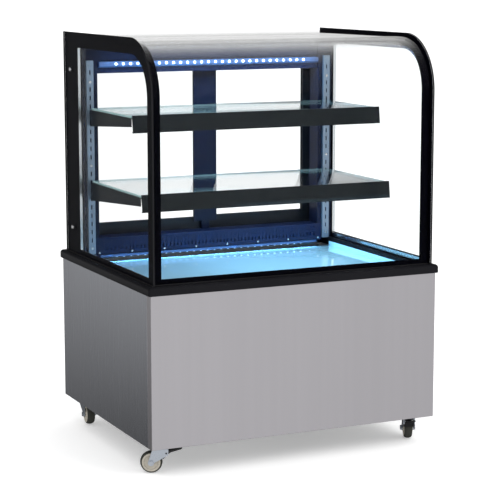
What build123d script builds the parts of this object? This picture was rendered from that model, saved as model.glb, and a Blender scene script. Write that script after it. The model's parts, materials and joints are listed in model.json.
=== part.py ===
from build123d import *
from math import cos, sin, sqrt, radians
import os

# Refrigerated bakery display case on casters. Millimetres, +Z up, origin on the floor under
# the middle of the case. The customer stands on the -Y side, the server on the +Y side.

# Overall sizes
overall_width = 900.0
overall_depth = 730.0
overall_height = 1190.0
base_height = 426.0
trim_height = 25.0
trim_overhang = 7.0
sheet = 1.5

# Clearances
running_gap = 0.5
clearance_fit = 0.05
moving_gap = 0.3

# Casters
wheel_radius = 31.0
wheel_width = 25.0
wheel_headroom = 18.0
caster_trail = 28.0
caster_inset_x = 50.0
caster_inset_y = 55.0
caster_plate = 2.5
fork_sheet = 2.5
axle_radius = 4.0

# Glass: side panes stand proud of the bent front pane
side_inset = 10.0
front_inset = 5.0
rear_inset = 8.0
outer_pane = 5.0
inner_pane = 4.0
pane_gap = 9.0
side_bend_radius = 160.0
bent_glass_recess = 10.0
spacer_height = 14.0
spacer_bar = 8.0
side_border = 45.0
bent_border = 16.0

# Rear frame, duct and doors
post_depth = 110.0
post_width = 48.0
profile_wall = 2.0
duct_depth = 56.0
duct_rise = 46.0
duct_drop = 6.0
header_drop = 122.0
door_head_rise = 36.0
sill_rise = 41.0
door_thickness = 16.0
door_gap = 6.0
door_stile = 33.0
door_bottom_rail = 38.0
door_pocket = 22.0
door_pane = 5.0
door_lap = 20.0

# Trim ring, tank and deck
trim_side_step = 28.0
trim_front_step = 23.0
deck_thickness = 5.0
deck_sink = 26.0
deck_slot = 8.0
tank_depth = 126.0
tank_wall = 25.0
tank_inset = 11.0

# Shelves
standard_width = 22.0
standard_depth = 8.0
standard_wall = 2.0
standard_inset = 26.0
standard_drop = 83.0
slot_width = 4.0
slot_height = 13.0
slot_pitch = 25.0
bracket_sheet = 2.5
bracket_tip = 24.0
bracket_flange = 14.0
upper_bracket_root = 48.0
lower_bracket_root = 54.0
shelf_glass = 6.0
strip_height = 49.0
strip_lean = 6.5
upper_shelf_rise = 437.0
upper_shelf_setback = 249.0
lower_shelf_rise = 222.0
lower_shelf_setback = 184.0

# Levels and faces that several pieces share
base_bottom = 2 * wheel_radius + wheel_headroom
base_top = base_bottom + base_height
trim_top = base_top + trim_height
half_base_x = overall_width / 2 - trim_overhang
half_base_y = overall_depth / 2 - trim_overhang
side_x = half_base_x - side_inset
side_front_y = -(half_base_y - front_inset)
glass_rear_y = half_base_y - rear_inset
inner_side_x = side_x - outer_pane - pane_gap - inner_pane
post_front_y = glass_rear_y - post_depth
post_outer_x = inner_side_x - running_gap
post_inner_x = post_outer_x - post_width
track_front_y = post_front_y + duct_depth
header_bottom = overall_height - header_drop
door_head = header_bottom + door_head_rise
sill_top = trim_top + sill_rise
duct_top = trim_top + duct_rise
duct_bottom = trim_top - duct_drop
trim_inner_x = side_x - trim_side_step
trim_inner_front_y = side_front_y + trim_front_step
trim_inner_rear_y = track_front_y - 4.0
deck_top = trim_top - deck_sink
deck_rear_y = post_front_y - deck_slot
tank_bottom = base_top - tank_depth
standard_x = post_inner_x + standard_inset
standard_top = overall_height - standard_drop
standard_face_y = post_front_y - standard_depth
shelf_half_width = standard_x - 1.5
upper_shelf_top = trim_top + upper_shelf_rise
lower_shelf_top = trim_top + lower_shelf_rise
upper_shelf_front = side_front_y + upper_shelf_setback
lower_shelf_front = side_front_y + lower_shelf_setback
caster_x = half_base_x - caster_inset_x
caster_y = half_base_y - caster_inset_y

os.makedirs("parts", exist_ok=True)


def save(piece, name):
    """Label a finished piece and write its STEP file."""
    piece.part.label = name
    export_step(piece.part, f"parts/{name}.step")


def slab(low, high, mode=Mode.ADD):
    """Add or cut a block given by its lowest and highest corner."""
    middle = tuple((a + b) / 2 for a, b in zip(low, high))
    with Locations(middle):
        Box(high[0] - low[0], high[1] - low[1], high[2] - low[2], mode=mode)


# ---------------------------------------------------------------- base cabinet
chassis_x = half_base_x - sheet - running_gap
chassis_y = half_base_y - sheet - running_gap
tube = 30.0
tube_wall = 2.0
chassis_top = base_bottom + tube
gusset = 72.0
gusset_sheet = 3.0
cross_beam_y = 40.0


def make_chassis():
    """Bottom ring and cross beams of downward-open channel, with four angle uprights."""
    with BuildPart() as chassis:
        slab((-chassis_x, -chassis_y, base_bottom), (chassis_x, chassis_y, chassis_top))
        inner_x = chassis_x - tube
        inner_y = chassis_y - tube
        slab((-inner_x, -inner_y, base_bottom), (inner_x, inner_y, chassis_top), Mode.SUBTRACT)
        beam_low = (-inner_x, cross_beam_y - tube / 2, base_bottom)
        beam_high = (inner_x, cross_beam_y + tube / 2, chassis_top)
        slab(beam_low, beam_high)
        hollow_top = chassis_top - tube_wall
        with BuildSketch(Plane.XY.offset(base_bottom)) as channel:
            Rectangle(2 * (chassis_x - tube_wall), 2 * (chassis_y - tube_wall))
            Rectangle(2 * (inner_x + tube_wall), 2 * (inner_y + tube_wall), mode=Mode.SUBTRACT)
        extrude(amount=hollow_top - base_bottom, mode=Mode.SUBTRACT)
        for side_x_sign in (-1, 1):
            for side_y_sign in (-1, 1):
                corner_x = side_x_sign * chassis_x
                corner_y = side_y_sign * chassis_y
                reach_x = corner_x - side_x_sign * tube
                reach_y = corner_y - side_y_sign * tube
                wall_x = corner_x - side_x_sign * tube_wall
                wall_y = corner_y - side_y_sign * tube_wall
                low = (min(corner_x, reach_x), min(corner_y, reach_y), chassis_top)
                high = (max(corner_x, reach_x), max(corner_y, reach_y), tank_bottom)
                slab(low, high)
                cut_low = (min(reach_x, wall_x), min(reach_y, wall_y), chassis_top)
                cut_high = (max(reach_x, wall_x), max(reach_y, wall_y), tank_bottom)
                slab(cut_low, cut_high, Mode.SUBTRACT)
                plate_x = corner_x - side_x_sign * gusset
                plate_y = corner_y - side_y_sign * (gusset + 16.0)
                low = (min(corner_x, plate_x), min(corner_y, plate_y), base_bottom)
                high = (max(corner_x, plate_x), max(corner_y, plate_y), base_bottom + gusset_sheet)
                slab(low, high)
    save(chassis, "chassis")


def make_base_pan():
    """Folded floor sheet of the machine compartment, notched round the uprights."""
    with BuildPart() as pan:
        edge_x = chassis_x - running_gap
        edge_y = chassis_y - running_gap
        slab((-edge_x, -edge_y, chassis_top), (edge_x, edge_y, chassis_top + sheet))
        notch = tube + running_gap
        with BuildSketch(Plane.XY.offset(chassis_top)) as notches:
            with GridLocations(2 * edge_x - notch, 2 * edge_y - notch, 2, 2):
                Rectangle(notch, notch)
        extrude(amount=sheet, mode=Mode.SUBTRACT)
        with BuildSketch(Plane.XY.offset(chassis_top)) as vents:
            with Locations((0, -160)):
                with GridLocations(24, 60, 20, 3):
                    SlotOverall(44, 8, rotation=90)
        extrude(amount=sheet, mode=Mode.SUBTRACT)
    save(pan, "base_pan")


corner_wrap = 28.0
corner_radius = 2.0
panel_top = base_top - 0.2


def make_front_panel():
    """Brushed front sheet, folded round both corners, with a return fold along its foot."""
    with BuildPart() as panel:
        front = -half_base_y
        slab((-half_base_x, front, base_bottom), (half_base_x, front + corner_wrap, panel_top))
        inside_x = half_base_x - sheet
        low = (-inside_x, front + sheet, base_bottom)
        high = (inside_x, front + corner_wrap, panel_top)
        slab(low, high, Mode.SUBTRACT)
        fillet(panel.edges().filter_by(Axis.Z).group_by(Axis.Y)[0], corner_radius)
    save(panel, "front_panel")


rear_return = 25.0


def make_side_panel(side, name):
    """Painted side sheet with a return fold at the rear; side is -1 for left, +1 for right."""
    seam = -half_base_y + corner_wrap + 0.3
    outer = side * half_base_x
    inner = side * (half_base_x - sheet)
    fold = side * (half_base_x - rear_return)
    with BuildPart() as panel:
        slab((min(outer, inner), seam, base_bottom), (max(outer, inner), half_base_y, panel_top))
        low = (min(inner, fold), half_base_y - sheet, base_bottom)
        high = (max(inner, fold), half_base_y, panel_top)
        slab(low, high)
        corner = panel.edges().filter_by(Axis.Z).group_by(Axis.Y)[-1].sort_by(Axis.X)
        fillet(corner[0] if side < 0 else corner[-1], corner_radius)
    save(panel, name)


grille_half_x = half_base_x - rear_return - running_gap
grille_bottom = base_bottom + 2.0
grille_top = panel_top - 2.0
louvre_columns = 3
louvre_margin = 67.5
louvre_gap = 50.0
louvre_height = 6.0
louvre_pitch = 15.0
louvre_span = 2 * (grille_half_x - louvre_margin)
louvre_length = (louvre_span - (louvre_columns - 1) * louvre_gap) / louvre_columns
louvre_rows = int((tank_bottom - base_bottom - 90.0) / louvre_pitch)
louvre_centre_z = base_bottom + 145.0
control_z = tank_bottom - 18.0
controller_x = -150.0
controller_width = 77.0
controller_height = 35.0
controller_cut_x = 71.0
controller_cut_z = 29.0
switch_x = -60.0
switch_width = 30.0
switch_height = 22.0
switch_cut_x = 27.0
switch_cut_z = 19.0
gland_x = 330.0
gland_z = control_z
gland_radius = 8.0
screw_inset = 9.0


def make_rear_grille():
    """Removable rear service panel: louvre slots and cut-outs for the controls and the gland."""
    rear_plane = Plane(origin=(0, half_base_y, 0), x_dir=(1, 0, 0), z_dir=(0, -1, 0))
    with BuildPart() as grille:
        low = (-grille_half_x, half_base_y - sheet, grille_bottom)
        high = (grille_half_x, half_base_y, grille_top)
        slab(low, high)
        with BuildSketch(rear_plane) as cuts:
            with Locations((0, louvre_centre_z)):
                with GridLocations(louvre_length + louvre_gap, louvre_pitch, louvre_columns, louvre_rows):
                    SlotOverall(louvre_length, louvre_height)
            with Locations((controller_x, control_z)):
                Rectangle(controller_cut_x, controller_cut_z)
            with Locations((switch_x, control_z)):
                Rectangle(switch_cut_x, switch_cut_z)
            with Locations((gland_x, gland_z)):
                Circle(gland_radius + 0.2)
        extrude(amount=sheet, mode=Mode.SUBTRACT)
    save(grille, "rear_grille")


# ---------------------------------------------------------------- fasteners
screw_head_radius = 4.0
screw_head_height = 2.2
small_head_radius = 3.0
small_head_height = 1.5
screw_low_z = trim_top + 17.0
screw_spacing_z = (standard_top - 63.0 - screw_low_z) / 2
screw_heights = [screw_low_z + step * screw_spacing_z for step in range(3)]
dome_radius = 7.0
dome_rise = 3.0
dome_y = post_front_y + 50.0
dome_heights = (trim_top + 77.0, overall_height - 110.0)
duct_face_y = post_front_y - 2.0
duct_half_width = standard_x - standard_width / 2 - 1.5
duct_screw_count = 8


def make_screws():
    """Pan heads of the rear grille, duct cover and standards; domed heads on the side glass."""
    rear_plane = Plane(origin=(0, half_base_y, 0), x_dir=(-1, 0, 0), z_dir=(0, 1, 0))
    duct_plane = Plane(origin=(0, duct_face_y, 0), x_dir=(1, 0, 0), z_dir=(0, -1, 0))
    standard_plane = Plane(origin=(0, standard_face_y, 0), x_dir=(1, 0, 0), z_dir=(0, -1, 0))
    with BuildPart() as screws:
        with BuildSketch(rear_plane) as rear_heads:
            with Locations((0, (grille_bottom + grille_top) / 2)):
                spread_x = 2 * (grille_half_x - screw_inset)
                spread_z = grille_top - grille_bottom - 2 * screw_inset
                with GridLocations(spread_x, spread_z / 2, 2, 3):
                    Circle(screw_head_radius)
        extrude(amount=screw_head_height)
        with BuildSketch(duct_plane) as duct_heads:
            pitch = 2 * (duct_half_width - 12) / (duct_screw_count - 1)
            with Locations((0, duct_bottom + 7)):
                with GridLocations(pitch, 1, duct_screw_count, 1):
                    Circle(small_head_radius)
        extrude(amount=small_head_height)
        with BuildSketch(standard_plane) as standard_heads:
            with Locations((0, screw_heights[1])):
                with GridLocations(2 * standard_x, screw_spacing_z, 2, 3):
                    Circle(screw_head_radius)
        extrude(amount=small_head_height)
        for side in (-1, 1):
            plane = Plane(origin=(side * side_x, 0, 0), x_dir=(0, side, 0), z_dir=(side, 0, 0))
            with BuildSketch(plane) as domes:
                with Locations(*[(side * dome_y, dome_z) for dome_z in dome_heights]):
                    Circle(dome_radius)
            extrude(amount=dome_rise)
            tops = screws.faces().filter_by(Axis.X).group_by(Axis.X)
            outer_faces = tops[-1] if side > 0 else tops[0]
            fillet(outer_faces.edges(), dome_rise - 0.4)
    save(screws, "screws")


# ---------------------------------------------------------------- casters
plate_half = 32.0
race_radius = 18.0
crown_top = base_bottom - 10.0
crown_thickness = 4.0
crown_front = -20.0
crown_rear = 20.0
fork_inner = wheel_width / 2 + 2.0
fork_outer = fork_inner + fork_sheet
boss_radius = 9.0
kingpin_radius = 4.0
kingpin_head = 6.5
plate_under = base_bottom - caster_plate
brake_pivot_x = -14.0
brake_pivot_z = crown_top - 12.0
brake_pin = 2.5
shoe_low_gap = 4.0
shoe_high_gap = 2.34


def caster_planes(x, y, heading):
    """Ground plane and side plane of a caster; heading is the way its wheel trails, in degrees."""
    along = (cos(radians(heading)), sin(radians(heading)), 0)
    across = (sin(radians(heading)), -cos(radians(heading)), 0)
    ground = Plane(origin=(x, y, 0), x_dir=along, z_dir=(0, 0, 1))
    side = Plane(origin=(x, y, 0), x_dir=along, z_dir=across)
    return ground, side


def make_fork(x, y, heading, with_brake, name):
    """Pressed fork with its ball race, and the axle bolt with a hex head and a hex nut."""
    ground, side = caster_planes(x, y, heading)
    axle_centre = (caster_trail, wheel_radius)
    with BuildPart() as fork:
        for leg_start in (fork_inner, -fork_outer):
            with BuildSketch(side.offset(leg_start)) as leg:
                with BuildLine():
                    Polyline(
                        (crown_front, crown_top),
                        (crown_rear + 4, crown_top),
                        (caster_trail + boss_radius, wheel_radius),
                        (caster_trail - boss_radius, wheel_radius),
                        (crown_front, brake_pivot_z - 5),
                        close=True,
                    )
                make_face()
                with Locations(axle_centre):
                    Circle(boss_radius)
            extrude(amount=fork_sheet)
        with BuildSketch(ground.offset(crown_top - crown_thickness)) as crown:
            with Locations(((crown_front + crown_rear) / 2, 0)):
                Rectangle(crown_rear - crown_front, 2 * fork_outer)
        extrude(amount=crown_thickness)
        with BuildSketch(ground.offset(crown_top)) as race:
            Circle(race_radius)
        extrude(amount=plate_under - moving_gap - crown_top)
        with BuildSketch(ground.offset(crown_top - crown_thickness)) as kingpin_hole:
            Circle(kingpin_radius + clearance_fit)
        extrude(amount=plate_under - crown_top + crown_thickness, mode=Mode.SUBTRACT)
        with BuildSketch(side.offset(-fork_outer)) as axle_hole:
            with Locations(axle_centre):
                Circle(axle_radius)
            if with_brake:
                with Locations((brake_pivot_x, brake_pivot_z)):
                    Circle(brake_pin)
        extrude(amount=2 * fork_outer, mode=Mode.SUBTRACT)
    with BuildPart() as axle:
        with BuildSketch(side.offset(-fork_outer)) as shank:
            with Locations(axle_centre):
                Circle(axle_radius)
        extrude(amount=2 * fork_outer)
        for head_start in (-fork_outer - 5.0, fork_outer):
            with BuildSketch(side.offset(head_start)) as head:
                with Locations(axle_centre):
                    RegularPolygon(6.5, 6, major_radius=False)
            extrude(amount=5.0)
    fork.part.label = name
    pair = Compound(children=[fork.part, axle.part], label=name)
    export_step(pair, f"parts/{name}.step")


def make_wheel(x, y, heading, name):
    """Moulded wheel with a rounded tread, a dished hub and a plain bore on the axle bolt."""
    side = caster_planes(x, y, heading)[1]
    half = wheel_width / 2
    with BuildPart() as wheel:
        with BuildSketch(side.offset(-half)) as disc:
            with Locations((caster_trail, wheel_radius)):
                Circle(wheel_radius)
        extrude(amount=wheel_width)
        fillet(wheel.edges(), 6.0)
        for dish_start in (-half, half - 3.0):
            with BuildSketch(side.offset(dish_start)) as dish:
                with Locations((caster_trail, wheel_radius)):
                    Circle(wheel_radius - 9.0)
                    Circle(10.0, mode=Mode.SUBTRACT)
            extrude(amount=3.0, mode=Mode.SUBTRACT)
        with BuildSketch(side.offset(-half - 1)) as hub:
            with Locations((caster_trail, wheel_radius)):
                Circle(8.0)
        extrude(amount=wheel_width + 2)
        with BuildSketch(side.offset(-half - 1)) as bore:
            with Locations((caster_trail, wheel_radius)):
                Circle(axle_radius + clearance_fit)
        extrude(amount=wheel_width + 2, mode=Mode.SUBTRACT)
    save(wheel, name)


def tread_point(gap, angle):
    """Point off the tread by gap, at an angle round the wheel, seen from the brake's pivot."""
    reach = wheel_radius + gap
    along = caster_trail + reach * cos(radians(angle)) - brake_pivot_x
    up = wheel_radius + reach * sin(radians(angle)) - brake_pivot_z
    return along, up


def make_brake(x, y, heading, name):
    """Foot lever between the fork legs: pedal outside, brake shoe towards the tread."""
    side = caster_planes(x, y, heading)[1]
    pivot = side.shift_origin(side.from_local_coords((brake_pivot_x, brake_pivot_z, 0)))
    half = fork_inner - running_gap
    with BuildPart() as lever:
        with BuildSketch(pivot.offset(-half)) as profile:
            with BuildLine():
                Polyline(
                    (-5.0, -3.0),
                    tread_point(shoe_low_gap, 163.4),
                    tread_point(shoe_high_gap, 160.4),
                    (5.0, 3.0),
                    (-10.0, 7.0),
                    (-38.0, 15.0),
                    (-44.0, 13.5),
                    (-41.0, 11.0),
                    (-12.0, 2.0),
                    close=True,
                )
            make_face()
        extrude(amount=2 * half)
        with BuildSketch(pivot.offset(-fork_outer)) as pin:
            Circle(brake_pin - clearance_fit)
        extrude(amount=2 * fork_outer)
    save(lever, name)


def make_caster_plates():
    """Four top plates under the chassis corners, each with its kingpin."""
    with BuildPart() as plates:
        with BuildSketch(Plane.XY.offset(plate_under)) as plate:
            with GridLocations(2 * caster_x, 2 * caster_y, 2, 2):
                RectangleRounded(2 * plate_half, 2 * plate_half, 6)
        extrude(amount=caster_plate)
        with BuildSketch(Plane.XY.offset(plate_under)) as kingpins:
            with GridLocations(2 * caster_x, 2 * caster_y, 2, 2):
                Circle(kingpin_radius)
        head_top = crown_top - crown_thickness - moving_gap
        extrude(amount=head_top - plate_under)
        with BuildSketch(Plane.XY.offset(head_top)) as heads:
            with GridLocations(2 * caster_x, 2 * caster_y, 2, 2):
                Circle(kingpin_head)
        extrude(amount=-2.3)
    save(plates, "caster_plates")


# ---------------------------------------------------------------- trim, tank and deck
bullnose = 9.0


def make_trim():
    """Black ring between base and glass, with a rounded outer edge."""
    with BuildPart() as trim:
        low = (-overall_width / 2, -overall_depth / 2, base_top)
        high = (overall_width / 2, overall_depth / 2, trim_top)
        slab(low, high)
        fillet(trim.edges().filter_by(Axis.Z), 6.0)
        fillet(trim.edges().group_by(Axis.Z)[-1], bullnose)
        fillet(trim.edges().group_by(Axis.Z)[0], 3.0)
        low = (-trim_inner_x, trim_inner_front_y, base_top)
        high = (trim_inner_x, trim_inner_rear_y, trim_top)
        slab(low, high, Mode.SUBTRACT)
    save(trim, "trim_ring")


tank_floor = tank_bottom + tank_wall
deck_bottom = deck_top - deck_thickness
pipe_x = -330.0
pipe_y = 120.0
pipe_radius = 4.0


def make_tank():
    """Insulated tank under the deck: foam-filled walls, open at the top."""
    with BuildPart() as tank:
        low = (tank_inset - half_base_x, tank_inset - half_base_y, tank_bottom)
        high = (half_base_x - tank_inset, half_base_y - tank_inset, base_top)
        slab(low, high)
        cavity_x = trim_inner_x - 5.0
        low = (-cavity_x, trim_inner_front_y + 5.0, tank_floor)
        high = (cavity_x, trim_inner_rear_y, base_top)
        slab(low, high, Mode.SUBTRACT)
        low = (-trim_inner_x, trim_inner_front_y, deck_bottom)
        high = (trim_inner_x, trim_inner_rear_y, base_top)
        slab(low, high, Mode.SUBTRACT)
        with BuildSketch(Plane.XY.offset(tank_bottom)) as pipe_holes:
            with Locations((pipe_x, pipe_y), (pipe_x, pipe_y + 30)):
                Circle(pipe_radius + 2)
        extrude(amount=tank_wall, mode=Mode.SUBTRACT)
    save(tank, "insulated_tank")


def make_deck():
    """Polished deck plate that covers the tank and leaves the air slot at the rear."""
    edge = trim_inner_x - running_gap
    with BuildPart() as deck:
        low = (-edge, trim_inner_front_y + running_gap, deck_bottom)
        high = (edge, deck_rear_y, deck_top)
        slab(low, high)
        fillet(deck.edges().group_by(Axis.Z)[-1], 0.8)
    save(deck, "deck_panel")


# ---------------------------------------------------------------- glass
def side_outline(inset, foot_z, rear_y):
    """Outline in the YZ plane, inset from the front and the top, standing on foot_z."""
    front = side_front_y + inset
    top = overall_height - inset
    radius = side_bend_radius - inset
    bend_y = front + radius
    bend_z = top - radius
    middle = (bend_y - radius / sqrt(2), bend_z + radius / sqrt(2))
    Line((rear_y, foot_z), (rear_y, top))
    Line((rear_y, top), (bend_y, top))
    ThreePointArc((bend_y, top), middle, (front, bend_z))
    Line((front, bend_z), (front, foot_z))
    Line((front, foot_z), (rear_y, foot_z))


def side_face(offset_x):
    """Sketch plane across the case at offset_x: first axis +Y, second axis +Z."""
    return Plane(origin=(offset_x, 0, 0), x_dir=(0, 1, 0), z_dir=(1, 0, 0))


bent_outer = bent_glass_recess
bent_inner = bent_outer + outer_pane + pane_gap
inner_side_inset = bent_outer + outer_pane + running_gap
corner_seal = 0.5
bent_rear_gap = 4.0


def make_side_glass(side, name):
    """Double-glazed side: outer pane, and inner pane cut back to clear the bent glass."""
    outer_start = side_x - outer_pane if side > 0 else -side_x
    inner_start = inner_side_x if side > 0 else -inner_side_x - inner_pane
    with BuildPart() as panes:
        with BuildSketch(side_face(outer_start)) as outer:
            with BuildLine():
                side_outline(0, trim_top, glass_rear_y)
            make_face()
        extrude(amount=outer_pane)
        with BuildSketch(side_face(inner_start)) as inner:
            with BuildLine():
                side_outline(inner_side_inset, trim_top, glass_rear_y - 1.0)
            make_face()
        extrude(amount=inner_pane)
    save(panes, name)


def bent_profile(outer_inset, thickness):
    """Closed YZ section of one bent pane: upright front, quarter arc, flat top."""
    rear = glass_rear_y - bent_rear_gap
    front = side_front_y + outer_inset
    top = overall_height - outer_inset
    radius = side_bend_radius - outer_inset
    small = radius - thickness
    bend_y = front + radius
    bend_z = top - radius
    diagonal = 1 / sqrt(2)
    Line((front, trim_top), (front, bend_z))
    ThreePointArc((front, bend_z), (bend_y - radius * diagonal, bend_z + radius * diagonal), (bend_y, top))
    Line((bend_y, top), (rear, top))
    Line((rear, top), (rear, top - thickness))
    Line((rear, top - thickness), (bend_y, top - thickness))
    ThreePointArc(
        (bend_y, top - thickness),
        (bend_y - small * diagonal, bend_z + small * diagonal),
        (front + thickness, bend_z),
    )
    Line((front + thickness, bend_z), (front + thickness, trim_top))
    Line((front + thickness, trim_top), (front, trim_top))


def make_bent_glass():
    """Front and top in one bent double-glazed unit that sits between the side panes."""
    outer_half = side_x - outer_pane - corner_seal
    inner_half = inner_side_x - corner_seal
    with BuildPart() as bent:
        with BuildSketch(side_face(-outer_half)) as outer:
            with BuildLine():
                bent_profile(bent_outer, outer_pane)
            make_face()
        extrude(amount=2 * outer_half)
        with BuildSketch(side_face(-inner_half)) as inner:
            with BuildLine():
                bent_profile(bent_inner, inner_pane)
            make_face()
        extrude(amount=2 * inner_half)
    save(bent, "bent_glass")


def make_spacers():
    """Aluminium bars between the panes: a ring in each side, and four bars in the bent unit."""
    slack = running_gap
    gap_inner_x = side_x - outer_pane - pane_gap
    bent_edge = side_x - outer_pane - bent_border
    front = side_front_y + bent_outer + outer_pane
    top = overall_height - bent_outer - outer_pane
    rear = glass_rear_y - bent_rear_gap
    bar_half = bent_edge - spacer_bar
    with BuildPart() as spacers:
        for start in (gap_inner_x, -gap_inner_x - pane_gap):
            with BuildSketch(side_face(start + slack)) as ring:
                with BuildLine():
                    side_outline(side_border - spacer_bar, trim_top, post_front_y - 2.0 + spacer_bar)
                make_face()
                with BuildLine():
                    side_outline(side_border, trim_top + spacer_height, post_front_y - 2.0)
                make_face(mode=Mode.SUBTRACT)
            extrude(amount=pane_gap - 2 * slack)
        for start in (bar_half, -bent_edge):
            with BuildSketch(side_face(start)) as bent_bar:
                with BuildLine():
                    bent_profile(bent_outer + outer_pane + slack, pane_gap - 2 * slack)
                make_face()
            extrude(amount=spacer_bar)
        low = (-bar_half, front + slack, trim_top)
        high = (bar_half, front + pane_gap - slack, trim_top + spacer_height)
        slab(low, high)
        low = (-bar_half, rear - 2 * spacer_bar, top - pane_gap + slack)
        high = (bar_half, rear, top - slack)
        slab(low, high)
    save(spacers, "glazing_spacers")


# ---------------------------------------------------------------- rear frame and duct
header_top = overall_height - bent_inner - inner_pane - running_gap
pocket_half_x = post_inner_x + door_pocket - running_gap


def make_rear_posts():
    """Two hollow rear posts, stepped back behind the duct to make the door pockets."""
    pocket_x = post_inner_x + door_pocket
    wall = profile_wall
    with BuildPart() as posts:
        for side in (-1, 1):
            with BuildSketch(Plane.XY.offset(trim_top)) as section:
                with BuildLine():
                    Polyline(
                        (side * post_inner_x, post_front_y),
                        (side * post_outer_x, post_front_y),
                        (side * post_outer_x, glass_rear_y - 2),
                        (side * pocket_x, glass_rear_y - 2),
                        (side * pocket_x, track_front_y),
                        (side * post_inner_x, track_front_y),
                        close=True,
                    )
                make_face()
                with BuildLine():
                    Polyline(
                        (side * (post_inner_x + wall), post_front_y + wall),
                        (side * (post_outer_x - wall), post_front_y + wall),
                        (side * (post_outer_x - wall), glass_rear_y - 2 - wall),
                        (side * (pocket_x + wall), glass_rear_y - 2 - wall),
                        (side * (pocket_x + wall), track_front_y - wall),
                        (side * (post_inner_x + wall), track_front_y - wall),
                        close=True,
                    )
                make_face(mode=Mode.SUBTRACT)
            extrude(amount=header_top - trim_top)
    save(posts, "rear_posts")


def make_header():
    """Hollow rear header, stepped up over the doors."""
    wall = profile_wall
    rear = glass_rear_y - 2
    half = post_inner_x - 0.2
    with BuildPart() as header:
        with BuildSketch(side_face(-half)) as section:
            with BuildLine():
                Polyline(
                    (post_front_y + 6, header_bottom),
                    (track_front_y, header_bottom),
                    (track_front_y, door_head),
                    (rear, door_head),
                    (rear, header_top),
                    (post_front_y + 6, header_top),
                    close=True,
                )
            make_face()
            with BuildLine():
                Polyline(
                    (post_front_y + 6 + wall, header_bottom + wall),
                    (track_front_y - wall, header_bottom + wall),
                    (track_front_y - wall, door_head + wall),
                    (rear - wall, door_head + wall),
                    (rear - wall, header_top - wall),
                    (post_front_y + 6 + wall, header_top - wall),
                    close=True,
                )
            make_face(mode=Mode.SUBTRACT)
        extrude(amount=2 * half)
        end_front = track_front_y + running_gap
        for side in (-1, 1):
            near = side * half
            far = side * pocket_half_x
            low = (min(near, far), end_front, door_head)
            high = (max(near, far), rear, header_top)
            slab(low, high)
            far = side * (pocket_half_x - wall)
            low = (min(near, far), end_front + wall, door_head + wall)
            high = (max(near, far), rear - wall, header_top - wall)
            slab(low, high, Mode.SUBTRACT)
    save(header, "rear_header")


mullion_half = 38.0
mullion_neck = 13.0
mullion_depth = 8.0
neck_top = duct_top + 25.0


def make_centre_post():
    """Centre post in front of the doors, narrowed to a neck at its foot."""
    with BuildPart() as post:
        rear = track_front_y - 2
        slab((-mullion_half, rear - mullion_depth, neck_top), (mullion_half, rear, header_bottom))
        slab((-mullion_neck, rear - mullion_depth, duct_top), (mullion_neck, rear, neck_top))
        fillet(post.edges().filter_by(Axis.Z).group_by(Axis.Y)[0], 1.0)
    save(post, "centre_post")


front_door_y = track_front_y + 3.5
rear_door_y = front_door_y + door_thickness + door_gap
ridge_height = 5.0
ridge_half = 1.0
sill_rear = glass_rear_y - 2
track_thickness = 2.0


def make_sill():
    """Foam-filled wall below the doors."""
    with BuildPart() as sill:
        low = (-pocket_half_x, track_front_y + running_gap, trim_top)
        high = (pocket_half_x, sill_rear, sill_top)
        slab(low, high)
        fillet(sill.edges().filter_by(Axis.X).group_by(Axis.Y)[-1], 2.0)
    save(sill, "rear_sill")


def make_tracks():
    """Bottom track with a ridge for each door, and top guide with fins between the doors."""
    half = pocket_half_x - running_gap
    door_centres = (front_door_y + door_thickness / 2, rear_door_y + door_thickness / 2)
    fin_top = door_head
    with BuildPart() as tracks:
        low = (-half, track_front_y + 1.0, sill_top)
        high = (half, sill_rear - 3.0, sill_top + track_thickness)
        slab(low, high)
        for centre in door_centres:
            low = (-half, centre - ridge_half, sill_top + track_thickness)
            high = (half, centre + ridge_half, sill_top + track_thickness + ridge_height)
            slab(low, high)
        guide_half = post_inner_x - 1.0
        low = (-guide_half, track_front_y + 1.0, fin_top - track_thickness)
        high = (guide_half, sill_rear - 1.0, fin_top)
        slab(low, high)
        fins = (
            (track_front_y + 1.0, track_front_y + 2.5),
            (front_door_y + door_thickness + 2.0, rear_door_y - 2.0),
            (rear_door_y + door_thickness + 1.5, rear_door_y + door_thickness + 3.0),
        )
        for fin_front, fin_rear in fins:
            low = (-guide_half, fin_front, fin_top - 12.0)
            high = (guide_half, fin_rear, fin_top - track_thickness)
            slab(low, high)
    save(tracks, "door_tracks")


slot_row_pitch = 12.0
duct_sheet = 1.5
duct_inner_half = post_inner_x - running_gap
vent_count = int(2 * (duct_half_width - 20.0) / slot_row_pitch)


def make_duct():
    """Folded cover of the air duct: slotted face, flat top and a lip along its lower edge."""
    face_plane = Plane(origin=(0, duct_face_y, 0), x_dir=(1, 0, 0), z_dir=(0, 1, 0))
    with BuildPart() as duct:
        low = (-duct_half_width, duct_face_y, duct_bottom)
        high = (duct_half_width, duct_face_y + duct_sheet, duct_top)
        slab(low, high)
        low = (-duct_inner_half, duct_face_y, duct_top - duct_sheet)
        high = (duct_inner_half, track_front_y, duct_top)
        slab(low, high)
        low = (-duct_half_width, duct_face_y - 3.0, duct_bottom)
        high = (duct_half_width, duct_face_y, duct_bottom + 1.5)
        slab(low, high)
        low = (-duct_inner_half, duct_face_y, duct_bottom)
        high = (duct_inner_half, duct_face_y + 14.0, duct_bottom + 1.5)
        slab(low, high)
        cut_depth = 2 * duct_sheet
        with BuildSketch(Plane.XZ.offset(-duct_face_y - cut_depth)) as vents:
            with Locations((0, duct_bottom + 19)):
                with GridLocations(slot_row_pitch, 1, vent_count, 1):
                    SlotOverall(12, 3.5, rotation=90)
            with Locations((0, duct_bottom + 38)):
                with GridLocations(slot_row_pitch, 8, vent_count, 2):
                    Circle(1.6)
        extrude(amount=2 * cut_depth, mode=Mode.SUBTRACT)
    save(duct, "air_duct_cover")


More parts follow.
